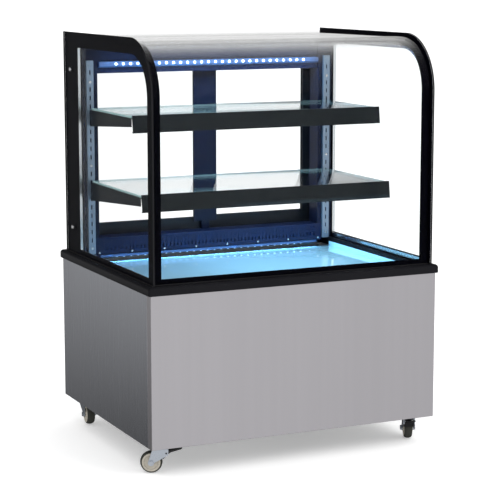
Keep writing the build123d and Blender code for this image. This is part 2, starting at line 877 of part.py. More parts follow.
# ---------------------------------------------------------------- sliding doors
door_left_x = -pocket_half_x + 1.0
door_bottom = sill_top + track_thickness + 0.5
door_top = door_head - track_thickness - 1.0
door_opening_low = door_bottom + door_bottom_rail
door_opening_high = header_bottom - 2.0
pull_width = 18.0
pull_height = 110.0
pull_depth = 8.0
pull_z = trim_top + 299.0


butt_gap = 0.1


def make_door(left_x, right_x, front_y, pull_x, frame_name, glass_name):
    """Door frame of two stiles and two rails, butted, with a pane groove and a recessed pull."""
    rear_y = front_y + door_thickness
    centre = front_y + door_thickness / 2
    low_x = left_x + door_stile
    high_x = right_x - door_stile
    groove = 8.0
    groove_half = door_pane / 2 + 0.3
    with BuildPart() as frame:
        slab((left_x, front_y, door_bottom), (right_x, rear_y, door_top))
        slab((low_x, front_y, door_opening_low), (high_x, rear_y, door_opening_high), Mode.SUBTRACT)
        for joint_x in (low_x, high_x):
            low = (joint_x - butt_gap / 2, front_y, door_bottom)
            high = (joint_x + butt_gap / 2, rear_y, door_top)
            slab(low, high, Mode.SUBTRACT)
        low = (low_x - groove, centre - groove_half, door_opening_low - groove)
        high = (high_x + groove, centre + groove_half, door_opening_high + groove)
        slab(low, high, Mode.SUBTRACT)
        track_half = ridge_half + 1.0
        low = (left_x, centre - track_half, door_bottom)
        high = (right_x, centre + track_half, door_bottom + ridge_height + 1.5)
        slab(low, high, Mode.SUBTRACT)
        low = (pull_x - pull_width / 2, rear_y - pull_depth, pull_z - pull_height / 2)
        high = (pull_x + pull_width / 2, rear_y, pull_z + pull_height / 2)
        slab(low, high, Mode.SUBTRACT)
    save(frame, frame_name)
    with BuildPart() as pane:
        grip = groove - 1.0
        low = (low_x - grip, centre - door_pane / 2, door_opening_low - grip)
        high = (high_x + grip, centre + door_pane / 2, door_opening_high + grip)
        slab(low, high)
    save(pane, glass_name)


# ---------------------------------------------------------------- shelves
slot_first_z = trim_top + 41.0
slot_last_z = standard_top - 30.0
screw_room = slot_height / 2 + screw_head_radius


def open_slots():
    """Heights of the slots: an even pitch, left out where a fixing screw sits."""
    count = int((slot_last_z - slot_first_z) / slot_pitch) + 1
    heights = [slot_first_z + step * slot_pitch for step in range(count)]
    return [z for z in heights if min(abs(z - screw) for screw in screw_heights) > screw_room]


def make_standards():
    """Two slotted steel channels that carry the shelf brackets."""
    inside = standard_width / 2 - standard_wall
    with BuildPart() as standards:
        for centre in (-standard_x, standard_x):
            low = (centre - standard_width / 2, standard_face_y, trim_top)
            high = (centre + standard_width / 2, post_front_y, standard_top)
            slab(low, high)
            low = (centre - inside, standard_face_y + standard_wall, trim_top)
            high = (centre + inside, post_front_y, standard_top)
            slab(low, high, Mode.SUBTRACT)
        with BuildSketch(Plane.XZ.offset(-standard_face_y - standard_wall)) as slots:
            with Locations(*[(0, slot_z) for slot_z in open_slots()]):
                with GridLocations(2 * standard_x, 1, 2, 1):
                    Rectangle(slot_width, slot_height)
        extrude(amount=standard_wall, mode=Mode.SUBTRACT)
    save(standards, "shelf_standards")


def slot_near(height):
    """Height of the slot nearest to height that has an open slot one pitch below it."""
    slots = open_slots()
    paired = [z for z in slots if min(abs(z - slot_pitch - other) for other in slots) < 1.0]
    return min(paired, key=lambda z: abs(z - height))


def make_brackets():
    """Two pairs of tapered brackets, each with a top flange and two hooks in the slots."""
    root_y = standard_face_y - 0.3
    hook = slot_height / 2 - 1.5
    half_sheet = bracket_sheet / 2
    shelves = (
        (upper_shelf_top, upper_shelf_front, upper_bracket_root),
        (lower_shelf_top, lower_shelf_front, lower_bracket_root),
    )
    with BuildPart() as brackets:
        for glass_top, front_y, root_height in shelves:
            seat = glass_top - shelf_glass - 0.2
            tip_y = front_y + 4.0
            upper_slot = slot_near(seat - 14.0)
            for side in (-1, 1):
                centre = side * standard_x
                with BuildSketch(side_face(centre - half_sheet)) as web:
                    with BuildLine():
                        Polyline(
                            (root_y, seat),
                            (tip_y, seat),
                            (tip_y, seat - bracket_tip),
                            (root_y, seat - root_height),
                            close=True,
                        )
                    make_face()
                extrude(amount=bracket_sheet)
                flange = centre - side * bracket_flange
                low = (min(centre, flange), tip_y, seat - bracket_sheet)
                high = (max(centre, flange), root_y - 2.0, seat)
                slab(low, high)
                for slot_z in (upper_slot, upper_slot - slot_pitch):
                    low = (centre - half_sheet, root_y, slot_z - hook)
                    high = (centre + half_sheet, standard_face_y + 4.5, slot_z + hook)
                    slab(low, high)
    save(brackets, "shelf_brackets")


def make_shelf(glass_top, front_y, glass_name, strip_name):
    """Glass shelf with polished edges, and the leaning ticket strip taped to its front edge."""
    with BuildPart() as pane:
        low = (-shelf_half_width, front_y + 2.0, glass_top - shelf_glass)
        high = (shelf_half_width, standard_face_y - 4.0, glass_top)
        slab(low, high)
        fillet(pane.edges().filter_by(Axis.Z), 3.0)
        chamfer(pane.edges().group_by(Axis.Z)[-1], 0.8)
    save(pane, glass_name)
    lip = 2.0
    gap = 0.2
    top = glass_top + lip + gap
    under = glass_top - shelf_glass - gap
    foot_y = front_y - strip_lean
    foot_z = top - strip_height
    with BuildPart() as strip:
        with BuildSketch(side_face(-shelf_half_width - 1.0)) as section:
            with BuildLine():
                Polyline(
                    (front_y - 2.5, top),
                    (front_y + 1.8, top),
                    (front_y + 1.8, under),
                    (front_y + 3.6, under),
                    (front_y + 3.6, under - 1.0),
                    (front_y + 1.0, under - 1.0),
                    (foot_y + 1.5, foot_z + 3.0),
                    (foot_y + 6.0, foot_z + 3.0),
                    (foot_y + 6.0, foot_z),
                    (foot_y - 2.5, foot_z),
                    close=True,
                )
            make_face()
        extrude(amount=2 * shelf_half_width + 2.0)
    save(strip, strip_name)


# ---------------------------------------------------------------- lighting
led_pitch = 23.0
led_radius = 3.0
lamp_half = post_inner_x - 3.0
lamp_end_room = 38.0
led_count = int(2 * (lamp_half - lamp_end_room) / led_pitch)
led_height = 2.0
lamp_z = header_bottom + 26.0
lamp_half_height = 9.0
deck_lamp_depth = 10.0


def make_lamps():
    """Lamp channels on the header and under the duct lip; the lower diodes face the deck."""
    header_front = post_front_y - 8.0
    deck_low = deck_top + 12.0
    deck_high = duct_bottom - 0.5
    deck_front = duct_face_y + 1.0
    with BuildPart() as channels:
        low = (-lamp_half, header_front, lamp_z - lamp_half_height)
        high = (lamp_half, post_front_y + 6.0, lamp_z + lamp_half_height)
        slab(low, high)
        chamfer(channels.edges().filter_by(Axis.X).group_by(Axis.Y)[0].sort_by(Axis.Z)[0], 5.0)
        low = (-duct_inner_half + 2.0, deck_front, deck_low)
        high = (duct_inner_half - 2.0, deck_front + deck_lamp_depth, deck_high)
        slab(low, high)
    save(channels, "lamp_channels")
    with BuildPart() as diodes:
        header_row = Plane(origin=(0, header_front, lamp_z + 1.5), x_dir=(1, 0, 0), z_dir=(0, -1, 0))
        deck_row_y = deck_front + deck_lamp_depth / 2
        deck_row = Plane(origin=(0, deck_row_y, deck_low), x_dir=(1, 0, 0), z_dir=(0, 0, -1))
        for face in (header_row, deck_row):
            with BuildSketch(face) as dots:
                with GridLocations(led_pitch, 1, led_count, 1):
                    Circle(led_radius)
            extrude(amount=led_height)
    save(diodes, "led_diodes")


# ---------------------------------------------------------------- refrigeration
pan_top = chassis_top + sheet
compressor_centre = (-180.0, 60.0)
compressor_radius = 78.0
compressor_bottom = pan_top + 18.0
compressor_height = 175.0
foot_plate_x = 206.0
foot_plate_y = 120.0
rubber_pitch_x = 176.0
rubber_pitch_y = 90.0
rubber_radius = 11.0


def make_compressor():
    """Hermetic compressor shell on a foot plate with four rubber mounts."""
    with BuildPart() as compressor:
        with BuildSketch(Plane.XY.offset(compressor_bottom)) as shell:
            with Locations(compressor_centre):
                Circle(compressor_radius)
        extrude(amount=compressor_height)
        fillet(compressor.edges().group_by(Axis.Z)[-1], 34.0)
        fillet(compressor.edges().group_by(Axis.Z)[0], 18.0)
        with BuildSketch(Plane.XY.offset(compressor_bottom - 3.0)) as feet:
            with Locations(compressor_centre):
                RectangleRounded(foot_plate_x, foot_plate_y, 8)
        extrude(amount=5.0)
        with BuildSketch(Plane.XY.offset(pan_top)) as mounts:
            with Locations(compressor_centre):
                with GridLocations(rubber_pitch_x, rubber_pitch_y, 2, 2):
                    Circle(rubber_radius)
        extrude(amount=15.0)
    save(compressor, "compressor")


condenser_low = (30.0, half_base_y - 82.0, pan_top + 6.0)
condenser_high = (half_base_x - 53.0, half_base_y - 28.0, tank_bottom - 35.0)
fin_count = 30
fin_sheet = 1.0
coil_tube = 4.5
big_fan_radius = 100.0
big_fan_depth = 26.0
small_fan_radius = 38.0
small_fan_depth = 12.0


def make_coil(low, high, fins, rows, columns, name):
    """Finned coil along X: end plates, fins and straight tubes that pass through them all."""
    length = high[0] - low[0]
    with BuildPart() as coil:
        pitch = (length - fin_sheet) / (fins - 1)
        middle_y = (low[1] + high[1]) / 2
        middle_z = (low[2] + high[2]) / 2
        for index in range(fins):
            start = low[0] + index * pitch
            slab((start, low[1], low[2]), (start + fin_sheet, high[1], high[2]))
        row_pitch = (high[2] - low[2]) / rows
        column_pitch = (high[1] - low[1]) / columns
        with BuildSketch(side_face(low[0])) as tubes:
            with Locations((middle_y, middle_z)):
                with GridLocations(column_pitch, row_pitch, columns, rows):
                    Circle(coil_tube)
        extrude(amount=length)
    save(coil, name)


def make_fan(centre, radius, depth, blades, name):
    """Fan rotor on a Y axis: round hub and pitched blades."""
    with BuildPart() as fan:
        hub_plane = Plane(origin=centre, x_dir=(1, 0, 0), z_dir=(0, -1, 0))
        with BuildSketch(hub_plane.offset(-depth / 2)) as hub:
            Circle(radius * 0.28)
        extrude(amount=depth)
        blade_length = radius * 0.76
        for index in range(blades):
            angle = index * 360 / blades
            direction = (cos(radians(angle)), 0, sin(radians(angle)))
            blade_plane = Plane(origin=centre, x_dir=(0, -1, 0), z_dir=direction)
            with BuildSketch(blade_plane.offset(radius * 0.24)) as blade:
                Rectangle(depth * 1.45, 2.0, rotation=-55)
            extrude(amount=blade_length)
    save(fan, name)


def make_fan_frame(centre, radius, depth, margin, hub_radius, name):
    """Square fan frame: venturi ring and four struts that hold the motor behind the rotor."""
    ring = radius + 3.0
    half = ring + margin
    plane = Plane(origin=centre, x_dir=(1, 0, 0), z_dir=(0, -1, 0))
    back = depth / 2 + 1.0
    motor_depth = 10.0
    with BuildPart() as frame:
        with BuildSketch(plane.offset(-back - motor_depth)) as plate:
            Rectangle(2 * half, 2 * half)
            Circle(ring, mode=Mode.SUBTRACT)
        extrude(amount=depth + 2.0 + motor_depth)
        with BuildSketch(plane.offset(-back - motor_depth)) as struts:
            Circle(hub_radius)
            with PolarLocations(0, 2, start_angle=45, angular_range=90, endpoint=True):
                Rectangle(2 * ring + 2, 5.0)
        extrude(amount=motor_depth)
    save(frame, name)


machine_left = 43.0 - half_base_x
relay_box_x = 150.0
relay_box_y = 100.0
relay_box_z = 120.0
tray_right = -60.0
tray_front_y = -250.0
tray_rear_y = -90.0
tray_height = 40.0
tray_wall = 2.0


def make_control_gear():
    """Box for the relay and the drivers, pan for the condensate, and two copper lines."""
    with BuildPart() as box:
        relay_box_rear = half_base_y - 28.0
        low = (machine_left, relay_box_rear - relay_box_y, pan_top)
        high = (machine_left + relay_box_x, relay_box_rear, pan_top + relay_box_z)
        slab(low, high)
        fillet(box.edges().filter_by(Axis.Z), 4.0)
    save(box, "electrical_box")
    with BuildPart() as tray:
        low = (machine_left, tray_front_y, pan_top)
        high = (tray_right, tray_rear_y, pan_top + tray_height)
        slab(low, high)
        low = (machine_left + tray_wall, tray_front_y + tray_wall, pan_top + tray_wall)
        high = (tray_right - tray_wall, tray_rear_y - tray_wall, pan_top + tray_height)
        slab(low, high, Mode.SUBTRACT)
    save(tray, "condensate_pan")


evaporator_low = (-290.0, post_front_y - 180.0, tank_floor + 6.0)
evaporator_high = (290.0, post_front_y - 60.0, tank_floor + 84.0)


def make_pipes():
    """Suction and liquid lines from the machine compartment up into the tank."""
    rise_end = tank_floor + 45.0
    start_x = compressor_centre[0] - compressor_radius - clearance_fit
    liquid_z = tank_bottom - 24.0
    liquid_turn_x = -40.0
    condenser_y = (condenser_low[1] + condenser_high[1]) / 2
    with BuildPart() as pipes:
        with BuildLine() as suction:
            FilletPolyline(
                (start_x, pipe_y, 250.0),
                (pipe_x, pipe_y, 250.0),
                (pipe_x, pipe_y, rise_end),
                (evaporator_low[0] - clearance_fit, pipe_y, rise_end),
                radius=15.0,
            )
        with BuildSketch(Plane(origin=suction.line @ 0, z_dir=suction.line % 0)) as suction_bore:
            Circle(pipe_radius)
        sweep(path=suction.line)
        liquid_y = pipe_y + 30.0
        with BuildLine() as liquid:
            FilletPolyline(
                (condenser_low[0] - clearance_fit, condenser_y, tank_bottom - 80.0),
                (liquid_turn_x, condenser_y, tank_bottom - 80.0),
                (liquid_turn_x, condenser_y, liquid_z),
                (liquid_turn_x, liquid_y, liquid_z),
                (pipe_x, liquid_y, liquid_z),
                (pipe_x, liquid_y, rise_end),
                (evaporator_low[0] - clearance_fit, liquid_y, rise_end),
                radius=12.0,
            )
        with BuildSketch(Plane(origin=liquid.line @ 0, z_dir=liquid.line % 0)) as liquid_bore:
            Circle(pipe_radius - 1.0)
        sweep(path=liquid.line)
    save(pipes, "copper_lines")


# ---------------------------------------------------------------- controls at the rear
bezel_depth = 3.0
controller_depth = 55.0
button_radius = 4.0
button_pitch = 13.0
button_names = ("button_set", "button_up", "button_down")
button_first_x = controller_x - 12.0
button_z = control_z - 9.0
rocker_tilt = 8.0
rocker_pin_radius = 1.5
rocker_pin_half = 8.2
gland_flats = 11.0
gland_reach = 12.0
cord_bore = 4.0


def make_controller():
    """Digital thermostat: bezel over the panel, body behind it, window and button holes."""
    rear = half_base_y + bezel_depth
    with BuildPart() as controller:
        half_w = controller_width / 2
        half_h = controller_height / 2
        low = (controller_x - half_w, half_base_y, control_z - half_h)
        high = (controller_x + half_w, rear, control_z + half_h)
        slab(low, high)
        fillet(controller.edges().filter_by(Axis.Y), 3.0)
        half_w = controller_cut_x / 2 - 0.3
        half_h = controller_cut_z / 2 - 0.3
        low = (controller_x - half_w, half_base_y - controller_depth, control_z - half_h)
        high = (controller_x + half_w, half_base_y, control_z + half_h)
        slab(low, high)
        low = (controller_x - 27.0, rear - 1.0, control_z - 3.0)
        high = (controller_x + 27.0, rear, control_z + 14.0)
        slab(low, high, Mode.SUBTRACT)
        holes = Plane(origin=(0, rear, 0), x_dir=(-1, 0, 0), z_dir=(0, 1, 0))
        with BuildSketch(holes) as bores:
            for index in range(len(button_names)):
                with Locations((-(button_first_x + index * button_pitch), button_z)):
                    Circle(button_radius + 0.2)
        extrude(amount=-5.0, mode=Mode.SUBTRACT)
    save(controller, "controller")


def make_buttons():
    """Three round push buttons; each leaves its travel free behind it."""
    rear = half_base_y + bezel_depth
    plane = Plane(origin=(0, rear, 0), x_dir=(-1, 0, 0), z_dir=(0, 1, 0))
    for index, name in enumerate(button_names):
        with BuildPart() as button:
            with BuildSketch(plane.offset(-3.5)) as cap:
                with Locations((-(button_first_x + index * button_pitch), button_z)):
                    Circle(button_radius)
            extrude(amount=5.0)
            fillet(button.edges().group_by(Axis.Y)[-1], 0.8)
        save(button, name)


def make_switch():
    """Rocker switch for the lamps: fixed housing and the rocker in it."""
    rear = half_base_y + bezel_depth
    with BuildPart() as housing:
        half_w = switch_width / 2
        half_h = switch_height / 2
        low = (switch_x - half_w, half_base_y, control_z - half_h)
        high = (switch_x + half_w, half_base_y + 2.0, control_z + half_h)
        slab(low, high)
        half_w = switch_cut_x / 2 - 0.3
        half_h = switch_cut_z / 2 - 0.3
        low = (switch_x - half_w, half_base_y - 22.0, control_z - half_h)
        high = (switch_x + half_w, half_base_y, control_z + half_h)
        slab(low, high)
        low = (switch_x - 11.0, half_base_y - 10.0, control_z - 7.0)
        high = (switch_x + 11.0, half_base_y + 2.0, control_z + 7.0)
        slab(low, high, Mode.SUBTRACT)
        with BuildSketch(Plane.XY.offset(control_z - rocker_pin_half - moving_gap)) as pin_bores:
            with Locations((switch_x, half_base_y - 1.0)):
                Circle(rocker_pin_radius + clearance_fit)
        extrude(amount=2 * (rocker_pin_half + moving_gap), mode=Mode.SUBTRACT)
    save(housing, "switch_housing")
    tilt = (cos(radians(rocker_tilt)), sin(radians(rocker_tilt)), 0)
    pivot = Plane(origin=(switch_x, half_base_y - 1.0, control_z), x_dir=tilt, z_dir=(0, 0, 1))
    with BuildPart() as rocker:
        with BuildSketch(pivot.offset(-6.5)) as section:
            with BuildLine():
                Polyline(
                    (-9.5, 4.6),
                    (0, 2.8),
                    (9.5, 4.6),
                    (9.0, -3.0),
                    (0, -4.0),
                    (-9.0, -3.0),
                    close=True,
                )
            make_face()
        extrude(amount=13.0)
        with BuildSketch(pivot.offset(-rocker_pin_half)) as pin:
            Circle(rocker_pin_radius)
        extrude(amount=2 * rocker_pin_half)
    save(rocker, "light_rocker")


def make_gland():
    """Cord gland in the rear grille, with a through bore for a mains cord."""
    plane = Plane(origin=(gland_x, half_base_y, gland_z), x_dir=(-1, 0, 0), z_dir=(0, 1, 0))
    with BuildPart() as gland:
        with BuildSketch(plane) as nut:
            RegularPolygon(gland_flats, 6, major_radius=False)
        extrude(amount=6.0)
        with BuildSketch(plane.offset(-sheet - gland_reach)) as shank:
            Circle(gland_radius)
        extrude(amount=sheet + gland_reach)
        with BuildSketch(plane.offset(-sheet - 5.0)) as locknut:
            RegularPolygon(gland_flats, 6, major_radius=False)
        extrude(amount=5.0)
        with BuildSketch(plane.offset(-sheet - gland_reach)) as bore:
            Circle(cord_bore)
        extrude(amount=sheet + gland_reach + 6.0, mode=Mode.SUBTRACT)
    save(gland, "cord_gland")


# ---------------------------------------------------------------- build everything
make_chassis()
make_base_pan()
make_front_panel()
make_side_panel(-1, "left_side_panel")
make_side_panel(1, "right_side_panel")
make_rear_grille()
make_screws()
make_caster_plates()
casters = (
    ("front_left", -caster_x, -caster_y, 155.0, True),
    ("front_right", caster_x, -caster_y, 66.0, True),
    ("rear_left", -caster_x, caster_y, -95.0, False),
    ("rear_right", caster_x, caster_y, -80.0, False),
)
for corner, corner_x, corner_y, heading, has_brake in casters:
    make_fork(corner_x, corner_y, heading, has_brake, f"fork_{corner}")
    make_wheel(corner_x, corner_y, heading, f"wheel_{corner}")
    if has_brake:
        make_brake(corner_x, corner_y, heading, f"brake_{corner}")
make_trim()
make_tank()
make_deck()
make_side_glass(-1, "left_side_glass")
make_side_glass(1, "right_side_glass")
make_bent_glass()
make_spacers()
make_rear_posts()
make_header()
make_centre_post()
make_sill()
make_tracks()
make_duct()
pull_x = door_left_x + door_stile / 2
make_door(door_left_x, door_lap, front_door_y, pull_x, "left_door_frame", "left_door_glass")
make_door(-door_lap, -door_left_x, rear_door_y, -pull_x, "right_door_frame", "right_door_glass")
make_standards()
make_brackets()
make_shelf(upper_shelf_top, upper_shelf_front, "upper_shelf", "upper_ticket_strip")
make_shelf(lower_shelf_top, lower_shelf_front, "lower_shelf", "lower_ticket_strip")
make_lamps()
make_compressor()
make_coil(condenser_low, condenser_high, fin_count, 8, 2, "condenser_coil")
make_coil(evaporator_low, evaporator_high, fin_count, 3, 4, "evaporator_coil")
condenser_middle_x = (condenser_low[0] + condenser_high[0]) / 2
big_fan = (condenser_middle_x, condenser_low[1] - 30.0, base_bottom + 155.0)
small_fan = (0.0, post_front_y - 40.0, tank_floor + 46.0)
make_fan(big_fan, big_fan_radius, big_fan_depth, 5, "condenser_fan")
make_fan_frame(big_fan, big_fan_radius, big_fan_depth, 8.0, 34.0, "condenser_shroud")
make_fan(small_fan, small_fan_radius, small_fan_depth, 7, "evaporator_fan")
make_fan_frame(small_fan, small_fan_radius, small_fan_depth, 3.0, 14.0, "evaporator_fan_frame")
make_control_gear()
make_pipes()
make_controller()
make_buttons()
make_switch()
make_gland()
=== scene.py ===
import json
from math import cos, pi, radians, sin

import bmesh
import bpy
import numpy as np
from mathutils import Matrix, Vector


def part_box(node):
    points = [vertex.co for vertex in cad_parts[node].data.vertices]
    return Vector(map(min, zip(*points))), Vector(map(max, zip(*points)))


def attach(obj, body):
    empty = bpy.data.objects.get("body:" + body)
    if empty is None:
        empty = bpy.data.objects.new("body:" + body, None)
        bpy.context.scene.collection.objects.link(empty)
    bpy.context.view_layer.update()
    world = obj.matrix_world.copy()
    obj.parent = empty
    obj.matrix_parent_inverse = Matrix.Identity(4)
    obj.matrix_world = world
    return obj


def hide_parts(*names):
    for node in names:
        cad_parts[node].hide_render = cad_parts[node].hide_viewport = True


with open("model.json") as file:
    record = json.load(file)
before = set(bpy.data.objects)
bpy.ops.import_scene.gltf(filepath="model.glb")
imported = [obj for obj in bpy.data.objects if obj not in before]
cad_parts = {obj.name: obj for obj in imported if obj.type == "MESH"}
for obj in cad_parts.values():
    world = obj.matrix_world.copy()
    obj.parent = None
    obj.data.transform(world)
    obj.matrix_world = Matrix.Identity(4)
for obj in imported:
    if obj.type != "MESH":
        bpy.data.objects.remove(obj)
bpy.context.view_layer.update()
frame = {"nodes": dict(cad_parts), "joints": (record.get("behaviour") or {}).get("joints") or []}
nodes = frame["nodes"]

# ---------------------------------------------------------------- front and side sheets
# Thin stainless sheets folded round the base. The front one is brushed from top to bottom and
# wraps round both corners; the side ones are a darker satin sheet. They hang on the chassis.


class Value:
    """A shader number: + - * / ** % < and abs() each add one Math node to its tree."""

    def __init__(self, tree, socket):
        self.tree = tree
        self.socket = socket

    def math(self, operation, first, second=0.0):
        node = self.tree.nodes.new("ShaderNodeMath")
        node.operation = operation
        for slot, value in zip(node.inputs, (first, second)):
            if isinstance(value, Value):
                self.tree.links.new(value.socket, slot)
            else:
                slot.default_value = value
        return Value(self.tree, node.outputs[0])

    def __add__(self, other):
        return self.math("ADD", self, other)

    def __sub__(self, other):
        return self.math("SUBTRACT", self, other)

    def __rsub__(self, other):
        return self.math("SUBTRACT", other, self)

    def __mul__(self, other):
        return self.math("MULTIPLY", self, other)

    def __truediv__(self, other):
        return self.math("DIVIDE", self, other)

    def __pow__(self, other):
        return self.math("POWER", self, other)

    def __mod__(self, other):
        return self.math("FLOORED_MODULO", self, other)

    def __lt__(self, other):
        return self.math("LESS_THAN", self, other)

    def __abs__(self):
        return self.math("ABSOLUTE", self)

    def limited(self):
        return self.math("MINIMUM", self.math("MAXIMUM", self, 0.0), 1.0)

    __radd__ = __add__
    __rmul__ = __mul__


class Finish:
    """A material under way: Principled shader, Object coordinates, and one method for nodes."""

    def __init__(self, name, constants=None):
        self.material = bpy.data.materials.new(name)
        self.material.use_nodes = True
        self.tree = self.material.node_tree
        self.shader = self.tree.nodes["Principled BSDF"]
        self.place = self.node("ShaderNodeTexCoord", output="Object")
        split = {"Vector": self.place}
        self.x = self.node("ShaderNodeSeparateXYZ", inputs=split, output="X")
        self.y = self.node("ShaderNodeSeparateXYZ", inputs=split, output="Y")
        self.z = self.node("ShaderNodeSeparateXYZ", inputs=split, output="Z")
        for socket, value in (constants or {}).items():
            self.set(socket, value)

    def node(self, kind, settings=None, inputs=None, output=0):
        """Adds a node, sets its settings and then its inputs, and gives one of its outputs."""
        node = self.tree.nodes.new(kind)
        for key, value in (settings or {}).items():
            setattr(node, key, value)
        for key, value in (inputs or {}).items():
            if isinstance(value, Value):
                self.tree.links.new(value.socket, node.inputs[key])
            else:
                node.inputs[key].default_value = value
        return Value(self.tree, node.outputs[output])

    def set(self, socket, value):
        """Feeds a socket of the Principled shader with a value, or sets it to a plain number."""
        if isinstance(value, Value):
            self.tree.links.new(value.socket, self.shader.inputs[socket])
        else:
            self.shader.inputs[socket].default_value = value

    def grain(self, scale, detail=3.0):
        """Noise from 0 to 1, with scale patches per metre along each axis."""
        vector = self.node("ShaderNodeMapping", inputs={"Vector": self.place, "Scale": scale})
        inputs = {"Vector": vector, "Scale": 1.0, "Detail": detail}
        return self.node("ShaderNodeTexNoise", {"noise_dimensions": "3D"}, inputs)

    def blend(self, factor, first, second):
        """Colour first where factor is 0, second where it is 1."""
        inputs = {"Factor": factor, 6: first, 7: second}
        return self.node("ShaderNodeMix", {"data_type": "RGBA"}, inputs, 2)

    def shade(self, colour, spread, pattern):
        """Base Color: colour made up to spread darker or lighter by pattern, from 0 to 1."""
        dark = [c * (1 - spread) for c in colour] + [1.0]
        light = [min(1.0, c * (1 + spread)) for c in colour] + [1.0]
        self.set("Base Color", self.blend(pattern, dark, light))

    def rough(self, middle, spread, pattern):
        """Roughness: middle, less or more by up to spread with pattern."""
        self.set("Roughness", (pattern - 0.5) * (2 * spread) + middle)

    def dent(self, height, depth):
        """Normal: a Bump node whose height is the pattern times depth, in metres."""
        inputs = {"Height": height, "Strength": 1.0, "Distance": depth}
        self.set("Normal", self.node("ShaderNodeBump", inputs=inputs))


def brushed(name, colour, roughness, across, along, depth, metal=1.0):
    """Brushed metal: fine streaks, across and along in streaks per metre on each axis."""
    finish = Finish(name, {"Metallic": metal})
    fine = finish.grain(across, 4.0)
    broad = finish.grain(along, 2.0)
    finish.shade(colour, 0.07, fine * 0.5 + broad * 0.5)
    finish.rough(roughness, 0.09, fine)
    finish.dent(fine, depth)
    return finish.material


def softened(node, body, materials, width=0.0006, edge_axis=None, segments=2):
    """Copy of a CAD node with its loose triangles merged and its edges rounded by width.

    With edge_axis, faces that don't look along that axis take the second material.
    """
    mesh = nodes[node].data.copy()
    mesh.name = node + "_made"
    shape = bmesh.new()
    shape.from_mesh(mesh)
    bmesh.ops.remove_doubles(shape, verts=shape.verts, dist=2e-6)
    bmesh.ops.dissolve_limit(shape, angle_limit=radians(0.3), verts=shape.verts, edges=shape.edges)
    shape.to_mesh(mesh)
    shape.free()
    mesh.materials.clear()
    for material in materials:
        mesh.materials.append(material)
    if edge_axis is not None:
        turned = np.zeros(len(mesh.polygons) * 3)
        mesh.polygons.foreach_get("normal", turned)
        is_edge = (abs(turned.reshape(-1, 3)[:, edge_axis]) < 0.5).astype(np.int32)
        mesh.polygons.foreach_set("material_index", is_edge)
    else:
        mesh.polygons.foreach_set("material_index", np.zeros(len(mesh.polygons), np.int32))
    mesh.polygons.foreach_set("use_smooth", np.ones(len(mesh.polygons), bool))
    mesh.set_sharp_from_angle(angle=radians(32))
    piece = bpy.data.objects.new(node + "_skin", mesh)
    bpy.context.scene.collection.objects.link(piece)
    if width > 0:
        bevel = piece.modifiers.new("arris", "BEVEL")
        bevel.width = width
        bevel.segments = segments
        bevel.limit_method = "ANGLE"
        bevel.angle_limit = radians(32)
        bevel.harden_normals = False
        if edge_axis is not None:
            bevel.material = 1
    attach(piece, body)
    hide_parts(node)
    return piece


front_grain = (1500.0, 1500.0, 7.0)
front_bands = (38.0, 38.0, 0.6)
front_steel = brushed("front_stainless", (0.50, 0.485, 0.51), 0.34, front_grain, front_bands, 4e-5)
side_steel = brushed("side_satin", (0.50, 0.515, 0.56), 0.24, front_grain, (9.0, 9.0, 1.4), 2e-5)
softened("front_panel", "cabinet", [front_steel], 0.0005)
softened("left_side_panel", "cabinet", [side_steel], 0.0005)
softened("right_side_panel", "cabinet", [side_steel], 0.0005)

# ---------------------------------------------------------------- chassis, floor sheet, grille
# Powder-coated steel channels carry the case. A zinc-coated sheet floors the machine bay, and
# a black louvred sheet closes it at the rear, held by six screws.


def coated(name, colour, roughness, depth=3e-5, peel=420.0, coat=0.0, shine=0.2):
    """Painted or powder-coated metal: orange peel of peel bumps per metre, faint clouding."""
    constants = {"Coat Weight": coat, "Coat Roughness": 0.12, "Specular IOR Level": shine}
    finish = Finish(name, constants)
    peel_pattern = finish.grain((peel, peel, peel), 2.0)
    cloud = finish.grain((14.0, 14.0, 14.0), 3.0)
    finish.shade(colour, 0.12, cloud)
    finish.rough(roughness, 0.05, peel_pattern)
    finish.dent(peel_pattern, depth)
    return finish.material


def galvanised(name, colour):
    """Zinc-coated sheet: crystal spangle from Voronoi cells, in tone and in roughness."""
    finish = Finish(name, {"Metallic": 1.0})
    inputs = {"Vector": finish.place, "Scale": 90.0}
    spangle = finish.node("ShaderNodeTexVoronoi", inputs=inputs, output="Color")
    tone = finish.node("ShaderNodeRGBToBW", inputs={"Color": spangle})
    finish.shade(colour, 0.14, tone)
    finish.rough(0.42, 0.08, tone)
    finish.dent(tone, 2e-5)
    return finish.material


chassis_coat = coated("chassis_coat", (0.022, 0.022, 0.024), 0.5, 6e-5)
rear_coat = coated("rear_coat", (0.030, 0.031, 0.034), 0.42, 4e-5)
floor_zinc = galvanised("floor_zinc", (0.52, 0.53, 0.55))
softened("chassis", "cabinet", [chassis_coat], 0.0007)
softened("base_pan", "cabinet", [floor_zinc], 0.0003)
softened("rear_grille", "cabinet", [rear_coat], 0.0003)
screw_grain = (900.0,) * 3
screw_zinc = brushed("screw_zinc", (0.72, 0.73, 0.75), 0.25, screw_grain, (60.0,) * 3, 2e-5)
softened("screws", "cabinet", [screw_zinc], 0.0004)

# ---------------------------------------------------------------- casters
# Zinc-plated swivel forks under four plates. Each wheel is a beige moulding with a dark tread
# ring on it, on a bolt with a hex head and nut. The two front ones have a black foot brake.
caster_zinc = brushed("caster_zinc", (0.50, 0.54, 0.60), 0.30, (260.0,) * 3, (55.0,) * 3, 3e-5)
brake_coat = coated("brake_coat", (0.016, 0.016, 0.017), 0.38, 5e-5, coat=0.2)
wheel_side = coated("wheel_side", (0.44, 0.41, 0.35), 0.55, 4e-5, 700.0)
wheel_rubber = coated("wheel_rubber", (0.035, 0.036, 0.030), 0.7, 8e-5, 900.0)
wheel_steps = 72
wheel_radius = 0.031
wheel_half = 0.0125


